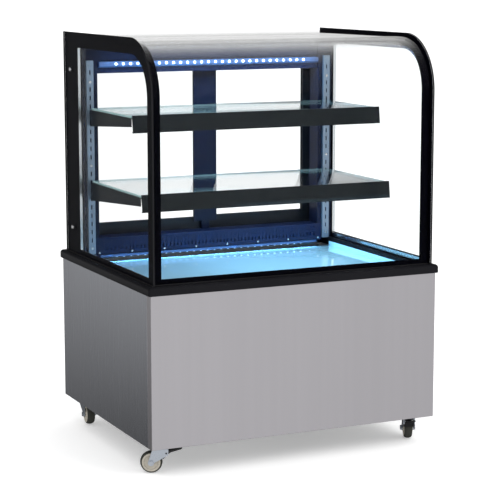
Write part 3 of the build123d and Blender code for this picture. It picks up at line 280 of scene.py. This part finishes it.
def lathe(name, profile, centre, axis, materials, material_of):
    """Solid of revolution: point (s, r) of the closed profile goes to
    centre + s * axis + r * (cos(t) * u + sin(t) * v), with u and v square to the axis."""
    axis = np.array(axis, float)
    axis /= np.linalg.norm(axis)
    u = np.cross(axis, (0.0, 0.0, 1.0))
    if np.linalg.norm(u) < 1e-6:
        u = np.array((1.0, 0.0, 0.0))
    u /= np.linalg.norm(u)
    v = np.cross(axis, u)
    s, r = np.array(profile, float).T
    turn = np.arange(wheel_steps) * 2 * pi / wheel_steps
    ring = np.cos(turn)[:, None, None] * u + np.sin(turn)[:, None, None] * v
    points = np.array(centre) + s[None, :, None] * axis + r[None, :, None] * ring
    count = len(s)
    here = np.arange(wheel_steps)[:, None] * count + np.arange(count)
    along = np.roll(here, -1, axis=0)
    across = np.roll(here, -1, axis=1)
    both = np.roll(along, -1, axis=1)
    faces = np.stack((here, along, both, across), axis=-1).reshape(-1, 4)
    mesh = bpy.data.meshes.new(name)
    mesh.from_pydata(points.reshape(-1, 3).tolist(), [], faces.tolist())
    for material in materials:
        mesh.materials.append(material)
    index = np.tile(np.array([material_of(i) for i in range(count)], np.int32), wheel_steps)
    mesh.polygons.foreach_set("material_index", index)
    mesh.polygons.foreach_set("use_smooth", np.ones(len(mesh.polygons), bool))
    tidy_normals(mesh)
    mesh.set_sharp_from_angle(angle=radians(35))
    piece = bpy.data.objects.new(name, mesh)
    bpy.context.scene.collection.objects.link(piece)
    return piece


def tidy_normals(mesh):
    """Merges points that meet, drops what they leave bare, and turns every face outwards."""
    shape = bmesh.new()
    shape.from_mesh(mesh)
    bmesh.ops.remove_doubles(shape, verts=shape.verts, dist=1e-7)
    bare = [edge for edge in shape.edges if not edge.link_faces]
    bmesh.ops.delete(shape, geom=bare, context="EDGES")
    bmesh.ops.recalc_face_normals(shape, faces=shape.faces)
    shape.to_mesh(mesh)
    shape.free()


# Half section of a wheel, as (distance from the mid plane, radius): bore, hub, dish, rim, tread
tread_arc = [radians(a) for a in range(0, 181, 15)]
tread = [(cos(a) * wheel_half * 0.96, wheel_radius - 0.0055 + sin(a) * 0.0055) for a in tread_arc]
hub_end = wheel_half + 0.0009
wheel_profile = [
    (-hub_end, 0.0042),
    (hub_end, 0.0042),
    (hub_end, 0.0076),
    (wheel_half - 0.0006, 0.0088),
    (wheel_half - 0.0028, 0.0108),
    (wheel_half - 0.0030, 0.0190),
    (wheel_half - 0.0004, 0.0206),
    (wheel_half, 0.0216),
    (wheel_half, 0.0238),
    (wheel_half - 0.0007, 0.0244),
    *tread,
    (-wheel_half + 0.0007, 0.0244),
    (-wheel_half, 0.0238),
    (-wheel_half, 0.0216),
    (-wheel_half + 0.0004, 0.0206),
    (-wheel_half + 0.0030, 0.0190),
    (-wheel_half + 0.0028, 0.0108),
    (-wheel_half + 0.0006, 0.0088),
    (-hub_end, 0.0076),
]
first_tread = 10
last_tread = first_tread + len(tread) - 1
for joint in frame["joints"]:
    if joint["name"].endswith("_roll"):
        wheel = joint["child"]
        piece = lathe(
            wheel + "_turned",
            wheel_profile,
            joint["pos_m"],
            joint["axis"],
            [wheel_side, wheel_rubber],
            lambda i: int(first_tread <= i < last_tread),
        )
        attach(piece, wheel)
        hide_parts(wheel)
for corner in ("front_left", "front_right", "rear_left", "rear_right"):
    softened("fork_" + corner, "caster_" + corner, [caster_zinc], 0.0004)
softened("brake_front_left", "brake_front_left", [brake_coat], 0.0008)
softened("brake_front_right", "brake_front_right", [brake_coat], 0.0008)
softened("caster_plates", "cabinet", [caster_zinc], 0.0004)

# ---------------------------------------------------------------- trim ring, tank and deck
# A black moulded ring with a round nose caps the base. Inside it hangs the foamed tank with
# its embossed liner, under a polished deck plate with a low folded upstand along each side.
trim_black = coated("trim_black", (0.008, 0.008, 0.010), 0.40, 3e-5, 600.0, shine=0.08)
softened("trim_ring", "cabinet", [trim_black], 0.0006)


def dressed(node, material):
    """Gives a CAD node a material in place of the one it came with."""
    nodes[node].data.materials.clear()
    nodes[node].data.materials.append(material)


liner = Finish("tank_liner", {"Metallic": 1.0})
stucco = liner.grain((160.0, 160.0, 160.0), 1.0)
liner.shade((0.60, 0.62, 0.64), 0.05, stucco)
liner.rough(0.36, 0.06, stucco)
liner.dent(stucco, 4e-4)
dressed("insulated_tank", liner.material)

deck = Finish("deck_polish_painted_glow", {"Coat Weight": 1.0, "Coat Roughness": 0.02})
deck_smudge = deck.grain((7.0, 7.0, 7.0), 4.0)
deck_hair = deck.grain((40.0, 900.0, 40.0), 2.0)
# Painted light: the pale blue of the deck colour stands in for the blue glow of the diode rows on
# the polished steel plate; the upstands share it.
deck.shade((0.46, 0.78, 0.94), 0.04, deck_smudge)
deck.rough(0.12, 0.04, deck_hair)
deck.dent(deck_smudge, 1e-4)
softened("deck_panel", "cabinet", [deck.material], 0.0005)


def closed_grid(name, points, materials, crease=35):
    """Surface over an (n, m, 3) grid of points that closes on itself both ways."""
    n, m = points.shape[:2]
    here = np.arange(n)[:, None] * m + np.arange(m)
    along = np.roll(here, -1, axis=0)
    across = np.roll(here, -1, axis=1)
    both = np.roll(along, -1, axis=1)
    faces = np.stack((here, along, both, across), axis=-1).reshape(-1, 4)
    mesh = bpy.data.meshes.new(name)
    mesh.from_pydata(points.reshape(-1, 3).tolist(), [], faces.tolist())
    for material in materials:
        mesh.materials.append(material)
    mesh.polygons.foreach_set("use_smooth", np.ones(n * m, bool))
    tidy_normals(mesh)
    mesh.set_sharp_from_angle(angle=radians(crease))
    piece = bpy.data.objects.new(name, mesh)
    bpy.context.scene.collection.objects.link(piece)
    return piece


def pinched_bar(name, low, high, material):
    """Bar from corner low to corner high: a rectangle in XZ carried along Y, shut at its ends."""
    low, high = np.array(low), np.array(high)
    middle = (low + high) / 2
    x = np.array((low[0], high[0], high[0], low[0])) - middle[0]
    z = np.array((low[2], low[2], high[2], high[2])) - middle[2]
    y = np.array((low[1], low[1], high[1], high[1]))[:, None] + 0 * x
    open_wide = np.array((0.0, 1.0, 1.0, 0.0))[:, None]
    points = np.stack((middle[0] + x * open_wide, y, middle[2] + z * open_wide), axis=-1)
    piece = closed_grid(name, points, [material])
    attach(piece, "cabinet")


deck_low, deck_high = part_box("deck_panel")
upstand_height = 0.014
upstand_sheet = 0.0007
for side, hand in ((-1, "left"), (1, "right")):
    ends = sorted((side * deck_high.x, side * (deck_high.x - upstand_sheet)))
    upstand_low = (ends[0], deck_low.y + 0.001, deck_high.z - 0.0004)
    upstand_high = (ends[1], deck_high.y - 0.001, deck_high.z + upstand_height)
    pinched_bar(f"deck_upstand_{hand}", upstand_low, upstand_high, deck.material)

# ---------------------------------------------------------------- glass
# Double-glazed units stand on the trim ring in black silicone: two flat sides, and one bent
# unit for the front and top. A black print covers the borders and the seal between the panes.


def clear_face(name, tint, slant=7.0):
    """Clear pane: it lets tint through and mirrors the share 0.0015 + m * facing^slant, where
    facing is 0 square on and 1 edge on, and m runs from 0.8 to 1 with faint smears."""
    face = Finish(name)
    facing = face.node("ShaderNodeLayerWeight", inputs={"Blend": 0.5}, output="Facing")
    smear = face.grain((5.0, 5.0, 5.0), 3.0)
    share = (facing ** slant) * (smear * 0.2 + 0.8) + 0.0015
    through = face.node("ShaderNodeBsdfTransparent", inputs={"Color": (*tint, 1.0)})
    gloss = {"Color": (1.0, 1.0, 1.0, 1.0), "Roughness": 0.0}
    mirror = face.node("ShaderNodeBsdfAnisotropic", inputs=gloss)
    mixed = face.node("ShaderNodeMixShader", inputs={0: share, 1: through, 2: mirror})
    output = face.tree.nodes["Material Output"].inputs["Surface"]
    face.tree.links.new(mixed.socket, output)
    return face.material


def polished_edge(name, colour, coat=0.3):
    """Ground and polished edge of a pane, with fine chips in tone and in roughness."""
    constants = {"Coat Weight": coat, "Coat Roughness": 0.05, "Specular IOR Level": 0.1}
    edge = Finish(name, constants)
    chips = edge.grain((800.0, 800.0, 800.0), 3.0)
    edge.shade(colour, 0.2, chips)
    edge.rough(0.22, 0.08, chips)
    return edge.material


case_tint = (0.993, 0.997, 0.998)
case_edge = polished_edge("case_glass_edge", (0.010, 0.010, 0.012), 0.06)
case_glass = [clear_face("case_glass", case_tint), case_edge]
front_glass = clear_face("front_glass", case_tint, 3.6)
softened("left_side_glass", "cabinet", case_glass, 0.0004, edge_axis=0)
softened("right_side_glass", "cabinet", case_glass, 0.0004, edge_axis=0)

glass_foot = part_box("left_side_glass")[0].z
glass_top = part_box("left_side_glass")[1].z
glass_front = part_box("left_side_glass")[0].y
glass_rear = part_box("left_side_glass")[1].y
side_outer_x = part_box("right_side_glass")[1].x
side_bend = 0.160
bend_steps = 28
pane = 0.005
pane_gap = 0.009
bent_recess = 0.010


def side_loop(inset, foot, rear):
    """Closed loop in YZ: up the front, round the bend of radius side_bend - inset, back along
    the top and down the rear, inset from the front and the top of the side pane."""
    radius = side_bend - inset
    bend_y = glass_front + side_bend
    bend_z = glass_top - side_bend
    turn = np.linspace(pi, pi / 2, bend_steps)
    arc = np.stack((bend_y + radius * np.cos(turn), bend_z + radius * np.sin(turn)), axis=1)
    ends = np.array(((rear, glass_top - inset), (rear, foot), (glass_front + inset, foot)))
    return np.vstack((arc, ends))


def side_band(name, side, outer, inner, x_near, x_far, material):
    """Flat ring between two YZ loops, from x_near to x_far, on the side given by its sign."""
    loops = [(outer, x_near), (outer, x_far), (inner, x_far), (inner, x_near)]
    points = np.stack([np.insert(loop, 0, side * x, axis=1) for loop, x in loops], axis=1)
    piece = closed_grid(name, points, [material])
    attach(piece, "cabinet")


print_black = coated("border_print", (0.0012, 0.0012, 0.003), 0.30, 1e-5, 500.0, shine=0.02)
seal_black = coated("edge_seal", (0.003, 0.003, 0.004), 0.6, 3e-5, 300.0, shine=0.05)
border = 0.045
foot_border = 0.016
print_margin = 0.0006
foot_margin = 0.0004
seal_lap = 0.0083
seal_inset = 0.0158
rear_border_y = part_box("rear_posts")[0].y - 0.002
print_outer = side_loop(print_margin, glass_foot + foot_margin, glass_rear - print_margin)
print_inner = side_loop(border, glass_foot + foot_border, rear_border_y)
seal_outer = side_loop(seal_inset, glass_foot + foot_margin, glass_rear - 0.0016)
seal_inner = side_loop(border - seal_lap, glass_foot + 0.0008, rear_border_y + seal_lap)
inner_face_x = side_outer_x - pane
print_near = inner_face_x - 0.0003
print_far = print_near + 2e-4
seal_far = inner_face_x - 0.0006
seal_near = inner_face_x - pane_gap + 0.0002
for side, hand in ((-1, "left"), (1, "right")):
    printed = (print_outer, print_inner, print_near, print_far, print_black)
    side_band(hand + "_border_print", side, *printed)
    sealed = (seal_outer, seal_inner, seal_near, seal_far, seal_black)
    side_band(hand + "_edge_seal", side, *sealed)

bent_length_up = glass_top - side_bend - glass_foot
bent_arc = (side_bend - bent_recess - pane) * pi / 2
bent_flat = glass_rear - 0.004 - (glass_front + side_bend)
bent_length = bent_length_up + bent_arc + bent_flat


def on_bent(along, x, depth):
    """Points of the bent unit: along is the distance up its front, round the bend and back
    over its top, x is across, and depth is how far inside the outline of the side panes."""
    along, x, depth = np.broadcast_arrays(along, x, depth)
    turn = np.clip((along - bent_length_up) / bent_arc, 0.0, 1.0) * pi / 2
    radius = side_bend - depth
    rise = np.clip(along, 0.0, bent_length_up)
    run = np.clip(along - bent_length_up - bent_arc, 0.0, bent_flat)
    y = glass_front + side_bend - radius * np.cos(turn) + run
    z = glass_foot + rise + radius * np.sin(turn)
    return np.stack((x, y, z), axis=-1)


def up_the_bend(low, high, steps=60):
    """Distances along the bent unit from low to high, steps of them close together on its bend."""
    bend = bent_length_up + bent_arc * np.linspace(0.0, 1.0, steps)
    return np.concatenate(((low,), bend, (high,)))


def bent_frame(half, low, high):
    """Closed loop of (along, x): up one side of the bent unit, across, down and across."""
    up = up_the_bend(low, high)
    along = np.concatenate((up, up[::-1]))
    x = np.concatenate((np.full(len(up), half), np.full(len(up), -half)))
    return along, x


bent_half = inner_face_x - 0.0005
clear_half = 0.4028
end_margin = 0.0004
rear_print = 0.020
print_depth = bent_recess + pane
outer_loop = bent_frame(bent_half - end_margin, end_margin, bent_length - end_margin)
inner_loop = bent_frame(clear_half, foot_border, bent_length - rear_print)
corners = ((outer_loop, 1e-4), (outer_loop, 3e-4), (inner_loop, 3e-4), (inner_loop, 1e-4))
rings = [on_bent(loop[0], loop[1], print_depth + lift) for loop, lift in corners]
front_print = closed_grid("front_border_print", np.stack(rings, axis=1), [print_black], 60)
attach(front_print, "cabinet")

seal_steps = up_the_bend(end_margin, bent_length - end_margin)
low_depth = print_depth + 0.0007
high_depth = print_depth + pane_gap - 0.0002
for side, hand in ((-1, "left"), (1, "right")):
    near = side * (clear_half + 0.0012)
    far = side * (inner_face_x - pane_gap - 0.0001)
    section = ((near, low_depth), (far, low_depth), (far, high_depth), (near, high_depth))
    along_seal = np.stack([on_bent(seal_steps, x, depth) for x, depth in section], axis=1)
    first_end = along_seal[:1].mean(1, keepdims=True).repeat(4, 1)
    last_end = along_seal[-1:].mean(1, keepdims=True).repeat(4, 1)
    shut = np.concatenate((first_end, along_seal, last_end))
    seal = closed_grid("front_edge_seal_" + hand, shut, [seal_black])
    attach(seal, "cabinet")

softened("bent_glass", "cabinet", [front_glass], 0.0)
spacer_holes = (1200.0, 1200.0, 40.0)
spacer_metal = brushed(
    "spacer_metal", (0.82, 0.84, 0.86), 0.22, (300.0,) * 3, spacer_holes, 2e-5
)
softened("glazing_spacers", "cabinet", [spacer_metal], 0.0003)


def bead(name, path, size, material):
    """Concave fillet of silicone along a closed path of square corners, size high and wide."""
    path = np.array(path)
    step = np.roll(path, -1, axis=0) - path
    step /= np.linalg.norm(step, axis=1)[:, None]
    outward = np.stack((step[:, 1], -step[:, 0]), axis=1)
    corner = outward + np.roll(outward, 1, axis=0)
    turn = np.linspace(0, pi / 2, 5)
    reach = np.concatenate(((0.0,), size * (1 - np.sin(turn)) + 1e-4))
    height = np.concatenate(((0.0,), size * (1 - np.cos(turn)) + 1e-5))
    flat = path[:, None, :] + corner[:, None, :] * reach[None, :, None]
    tall = np.broadcast_to(glass_foot + height, (len(path), len(reach)))[..., None]
    piece = closed_grid(name, np.concatenate((flat, tall), axis=-1), [material])
    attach(piece, "cabinet")


silicone = coated("silicone", (0.006, 0.006, 0.007), 0.45, 2e-5, 260.0)
bent_face_y = glass_front + bent_recess
foot_path = [
    (-side_outer_x, glass_rear),
    (-side_outer_x, glass_front),
    (-inner_face_x, glass_front),
    (-inner_face_x, bent_face_y),
    (inner_face_x, bent_face_y),
    (inner_face_x, glass_front),
    (side_outer_x, glass_front),
    (side_outer_x, glass_rear),
]
bead("foot_bead", foot_path, 0.0028, silicone)

# ---------------------------------------------------------------- rear frame and air duct
# Blue-black coated sections: two posts, a header, a centre post and a low wall, all screwed
# together. A perforated cover over the air duct lies in front of the low wall.
frame_coat = coated("frame_coat", (0.006, 0.009, 0.024), 0.32, 2e-5, 500.0)
duct_coat = coated("duct_coat", (0.008, 0.013, 0.040), 0.34, 2e-5, 500.0)
guide_plastic = coated("guide_plastic", (0.012, 0.012, 0.014), 0.45, 2e-5, 700.0)
for node in ("rear_posts", "rear_header", "centre_post", "rear_sill"):
    softened(node, "cabinet", [frame_coat], 0.0006)
softened("air_duct_cover", "cabinet", [duct_coat], 0.0002)
softened("door_tracks", "cabinet", [guide_plastic], 0.0003)

# ---------------------------------------------------------------- sliding doors
# Two doors at the rear run in the tracks: a single pane in black anodised sections, each with
# a pull cut into its outer stile.
drawn_lines = (40.0, 40.0, 2600.0)
door_black = (0.022, 0.024, 0.030)
anodised = brushed("door_anodised", door_black, 0.36, drawn_lines, (20.0,) * 3, 1e-5, 0.6)
door_edge = polished_edge("door_glass_edge", (0.03, 0.05, 0.045))
door_glass = [clear_face("door_glass", (0.993, 0.997, 0.997)), door_edge]
for side in ("left", "right"):
    softened(side + "_door_frame", side + "_door", [anodised], 0.0005)
    softened(side + "_door_glass", side + "_door", door_glass, 0.0, edge_axis=1)

# ---------------------------------------------------------------- shelves
# Slotted steel channels carry pairs of tapered brackets. On them lie polished glass shelves,
# each with a black ticket strip clipped along its front edge.
channel_grain = (900.0, 900.0, 30.0)
# The blue of this colour is partly the steel's own blue-grey and partly painted light: it stands
# in for blue diode light reflected in the steel.
channel_grey_and_painted_glow = (0.26, 0.33, 0.42)
channel_steel = brushed(
    "channel_steel", channel_grey_and_painted_glow, 0.34, channel_grain, (30.0,) * 3, 2e-5, 0.7
)
bracket_coat = coated("bracket_coat", (0.010, 0.012, 0.015), 0.36, 3e-5, 500.0)
strip_black = coated("strip_black", (0.009, 0.012, 0.014), 0.30, 2e-5, 400.0)
shelf_edge = polished_edge("shelf_glass_edge", (0.34, 0.50, 0.50))
shelf_glass = [clear_face("shelf_glass", (0.984, 0.992, 0.993), 6.0), shelf_edge]
softened("shelf_standards", "cabinet", [channel_steel], 0.0004)
softened("shelf_brackets", "cabinet", [bracket_coat], 0.0003)
for level in ("upper", "lower"):
    softened(level + "_shelf", level + "_shelf", shelf_glass, 0.0004, edge_axis=2)
    softened(level + "_ticket_strip", level + "_shelf", [strip_black], 0.0004)

# ---------------------------------------------------------------- lamps
# Cool white diodes in a row on an aluminium channel, one under the header and one under the
# lip of the duct cover. A glow round each diode and a faint blue glow over the rest of the
# channel are painted onto it as emission.
led_pitch = 0.023
led_halo = 0.011
led_half = 0.003
between_rows = 0.8
last_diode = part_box("led_diodes")[1].x + 0.002
led_row_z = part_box("led_diodes")[1].z - led_half


def from_nearest_diode(x):
    """Distance along the row: the rest of x over whole pitches, less half a pitch, unsigned."""
    return abs((x + 20 * led_pitch) % led_pitch - led_pitch / 2)


diode = Finish("led_white", {"Emission Strength": 9.0, "Base Color": (0.9, 0.95, 1.0, 1.0)})
core = (1.0 - from_nearest_diode(diode.x) / led_half * 0.5).limited()
lit = diode.blend(core, (0.45, 0.72, 1.0, 1.0), (0.92, 0.97, 1.0, 1.0))
dim = (0.03, 0.05, 0.08, 1.0)
diode.set("Emission Color", diode.blend(diode.z < between_rows, lit, dim))
diode.rough(0.3, 0.05, diode.grain((900.0,) * 3))
dressed("led_diodes", diode.material)
lamp = Finish("lamp_channel", {"Metallic": 0.7, "Emission Strength": 1.6})
lamp_grain = lamp.grain((60.0, 1500.0, 1500.0))
lamp.shade((0.10, 0.14, 0.24), 0.08, lamp_grain)
lamp.rough(0.35, 0.06, lamp_grain)
lamp.dent(lamp_grain, 2e-5)
# Painted light: the channel is no lamp; its emission paints the diodes' glow on it, brightest
# round each diode and faint blue elsewhere.
near_z = abs(lamp.z - led_row_z)
from_diode = (from_nearest_diode(lamp.x) ** 2.0 + near_z ** 2.0) ** 0.5
glow = ((1.0 - from_diode / led_halo).limited()) ** 2.0 * (abs(lamp.x) < last_diode)
faint_painted_glow, glowing = (0.002, 0.006, 0.03, 1.0), (0.10, 0.30, 0.90, 1.0)
lamp.set("Emission Color", lamp.blend(glow, faint_painted_glow, glowing))
softened("lamp_channels", "cabinet", [lamp.material], 0.0004)

# ---------------------------------------------------------------- refrigeration
# Behind the grille: an enamelled compressor on rubber feet, a finned condenser and its fan,
# a relay box and a melt-water tray. A second coil and fan lie in the tank, under the deck.

enamel = coated("compressor_enamel", (0.012, 0.012, 0.013), 0.22, 4e-5, 160.0, coat=0.5)
fins = brushed("coil_fins", (0.72, 0.73, 0.74), 0.38, (90.0, 1600.0, 1600.0), (25.0,) * 3, 5e-5)
fan_plastic = coated("fan_plastic", (0.050, 0.050, 0.054), 0.5, 4e-5, 700.0)
shroud_plastic = coated("shroud_plastic", (0.026, 0.026, 0.029), 0.52, 5e-5, 600.0)
relay_plastic = coated("relay_plastic", (0.40, 0.41, 0.42), 0.5, 4e-5, 600.0)
tray_plastic = coated("tray_plastic", (0.70, 0.71, 0.71), 0.42, 5e-5, 240.0)
copper = brushed("copper_tube", (0.80, 0.40, 0.26), 0.26, (120.0,) * 3, (18.0,) * 3, 3e-5)
dressed("compressor", enamel)
dressed("condenser_coil", fins)
dressed("evaporator_coil", fins)
dressed("copper_lines", copper)
softened("condenser_fan", "condenser_fan", [fan_plastic], 0.0006)
softened("evaporator_fan", "evaporator_fan", [fan_plastic], 0.0003)
softened("condenser_shroud", "cabinet", [shroud_plastic], 0.0008)
softened("evaporator_fan_frame", "cabinet", [shroud_plastic], 0.0004)
softened("electrical_box", "cabinet", [relay_plastic], 0.0012)
softened("condensate_pan", "cabinet", [tray_plastic], 0.0005)

# ---------------------------------------------------------------- rear controls
# A thermostat with a smoked window and three soft keys, a green rocker for the lamps and a
# nylon cord gland, all set in the louvred rear sheet.
bezel_black = coated("bezel_black", (0.020, 0.020, 0.022), 0.25, 1e-5, 700.0, coat=0.3)
key_grey = coated("key_grey", (0.46, 0.47, 0.49), 0.55, 3e-5, 900.0)
switch_black = coated("switch_black", (0.018, 0.018, 0.019), 0.4, 3e-5, 800.0)
rocker_green = coated("rocker_green", (0.02, 0.34, 0.09), 0.22, 2e-5, 400.0, coat=0.5)
gland_nylon = coated("gland_nylon", (0.022, 0.022, 0.024), 0.48, 5e-5, 600.0)
softened("controller", "cabinet", [bezel_black], 0.0005)
smoked = coated("smoked_window", (0.030, 0.004, 0.004), 0.08, 1e-6, 60.0, coat=0.8, shine=0.5)
window_low, window_high = (-0.1765, 0.3601, 0.3595), (-0.1235, 0.3609, 0.3755)
pinched_bar("thermostat_window", window_low, window_high, smoked)
for key in ("button_set", "button_up", "button_down"):
    softened(key, key, [key_grey], 0.0003)
softened("switch_housing", "cabinet", [switch_black], 0.0005)
softened("light_rocker", "light_rocker", [rocker_green], 0.0006, segments=3)
softened("cord_gland", "cabinet", [gland_nylon], 0.0006)

# ---------------------------------------------------------------- floor, light and camera
# A plain pale floor under soft light from all round, one large soft box, and the glow of the
# two diode rows inside the case.
floor_mesh = bpy.data.meshes.new("floor")
far = 30.0
floor_corners = [(-far, -far, 0), (far, -far, 0), (far, far, 0), (-far, far, 0)]
floor_mesh.from_pydata(floor_corners, [], [(0, 1, 2, 3)])
floor = bpy.data.objects.new("floor", floor_mesh)
bpy.context.scene.collection.objects.link(floor)
floor_look = {"Roughness": 0.7, "Specular IOR Level": 0.1, "Emission Strength": 0.32}
pale = Finish("floor_pale", floor_look)
pale.set("Emission Color", (1.0, 1.0, 1.0, 1.0))
pale.shade((0.90, 0.90, 0.90), 0.01, pale.grain((3.0, 3.0, 3.0)))
floor_mesh.materials.append(pale.material)
floor.visible_glossy = False

# The surroundings: white to the eye and for soft light. Rough metal and paint mirror a bright
# front and two side bands, and sharp reflections in glass see white only above the horizon.
backdrop_level = 1.45
soft_level = 1.12
world = bpy.data.worlds.new("studio")
bpy.context.scene.world = world
world.use_nodes = True
sky = world.node_tree
path = sky.nodes.new("ShaderNodeLightPath")
lookup = sky.nodes.new("ShaderNodeTexCoord")
split = sky.nodes.new("ShaderNodeSeparateXYZ")
sky.links.new(lookup.outputs["Generated"], split.inputs[0])
seen = Value(sky, path.outputs["Is Camera Ray"])
mirrored = Value(sky, path.outputs["Is Glossy Ray"])
sharp = Value(sky, path.outputs["Is Singular Ray"])
away_x = Value(sky, split.outputs["X"])
away_y = Value(sky, split.outputs["Y"])
away_z = Value(sky, split.outputs["Z"])
forward = (away_y * -1.0).limited()
sideways = (abs(away_x) * 2.2).limited() * (1.0 - forward)
rightward = (away_x * 3.0).limited()
low_fade = (away_z * 9.0 + 2.4).limited()
high_fade = (away_z * -6.0 + 1.0).limited()
above = (away_z * 30.0 + 0.1).limited()
rough_level = forward * 0.90 + sideways * low_fade * high_fade * 0.60 + 0.05
sharp_level = above * rightward * 0.84 + 0.01
mirror_level = sharp * sharp_level + (1.0 - sharp) * rough_level
bounced_level = mirrored * mirror_level + (1.0 - mirrored) * soft_level
level = seen * backdrop_level + (1.0 - seen) * bounced_level
sky.links.new(level.socket, sky.nodes["Background"].inputs["Strength"])
sky.nodes["Background"].inputs["Color"].default_value = (1.0, 1.0, 1.0, 1.0)


def soft_box(name, place, aim, width, height, power, colour):
    """Area lamp of width by height at place, shining towards aim; mirrors don't show it."""
    data = bpy.data.lights.new(name, "AREA")
    data.shape = "RECTANGLE"
    data.size = width
    data.size_y = height
    data.energy = power
    data.color = colour
    box = bpy.data.objects.new(name, data)
    bpy.context.scene.collection.objects.link(box)
    box.location = place
    box.rotation_euler = (Vector(aim) - Vector(place)).to_track_quat("-Z", "Y").to_euler()
    box.visible_camera = False
    box.visible_glossy = False


ice_blue = (0.30, 0.62, 1.0)
soft_box("key_box", (2.2, -3.6, 3.4), (0, 0, 0.6), 2.4, 2.4, 60.0, (1, 1, 1))
soft_box("header_glow", (0, 0.205, 1.094), (0, 0.246, 1.094), 0.70, 0.012, 0.7, ice_blue)
soft_box("header_row", (0, 0.226, 1.092), (0, 0.0, 0.75), 0.70, 0.012, 2.0, ice_blue)
soft_box("deck_row", (0, 0.232, 0.5165), (0, -0.30, 0.49), 0.70, 0.006, 1.2, ice_blue)
soft_box("deck_wash", (0.14, -0.02, 0.70), (0.14, -0.04, 0.5), 0.50, 0.40, 2.0, (0.45, 0.78, 1.0))
soft_box("deck_bounce", (0, -0.05, 0.508), (0, -0.05, 1.0), 0.78, 0.50, 0.8, ice_blue)

camera_data = bpy.data.cameras.new("camera")
camera_data.sensor_width = 36.0
camera_data.lens = 124.05
camera = bpy.data.objects.new("camera", camera_data)
bpy.context.scene.collection.objects.link(camera)
camera.location = (-2.1243, -4.5723, 1.3621)
camera.rotation_euler = (radians(90 - 9.145), 0, -radians(25.112))
camera_data.clip_end = 100.0
scene = bpy.context.scene
scene.camera = camera
scene.view_settings.view_transform = "Standard"
scene.cycles.transparent_max_bounces = 48
scene.cycles.max_bounces = 16
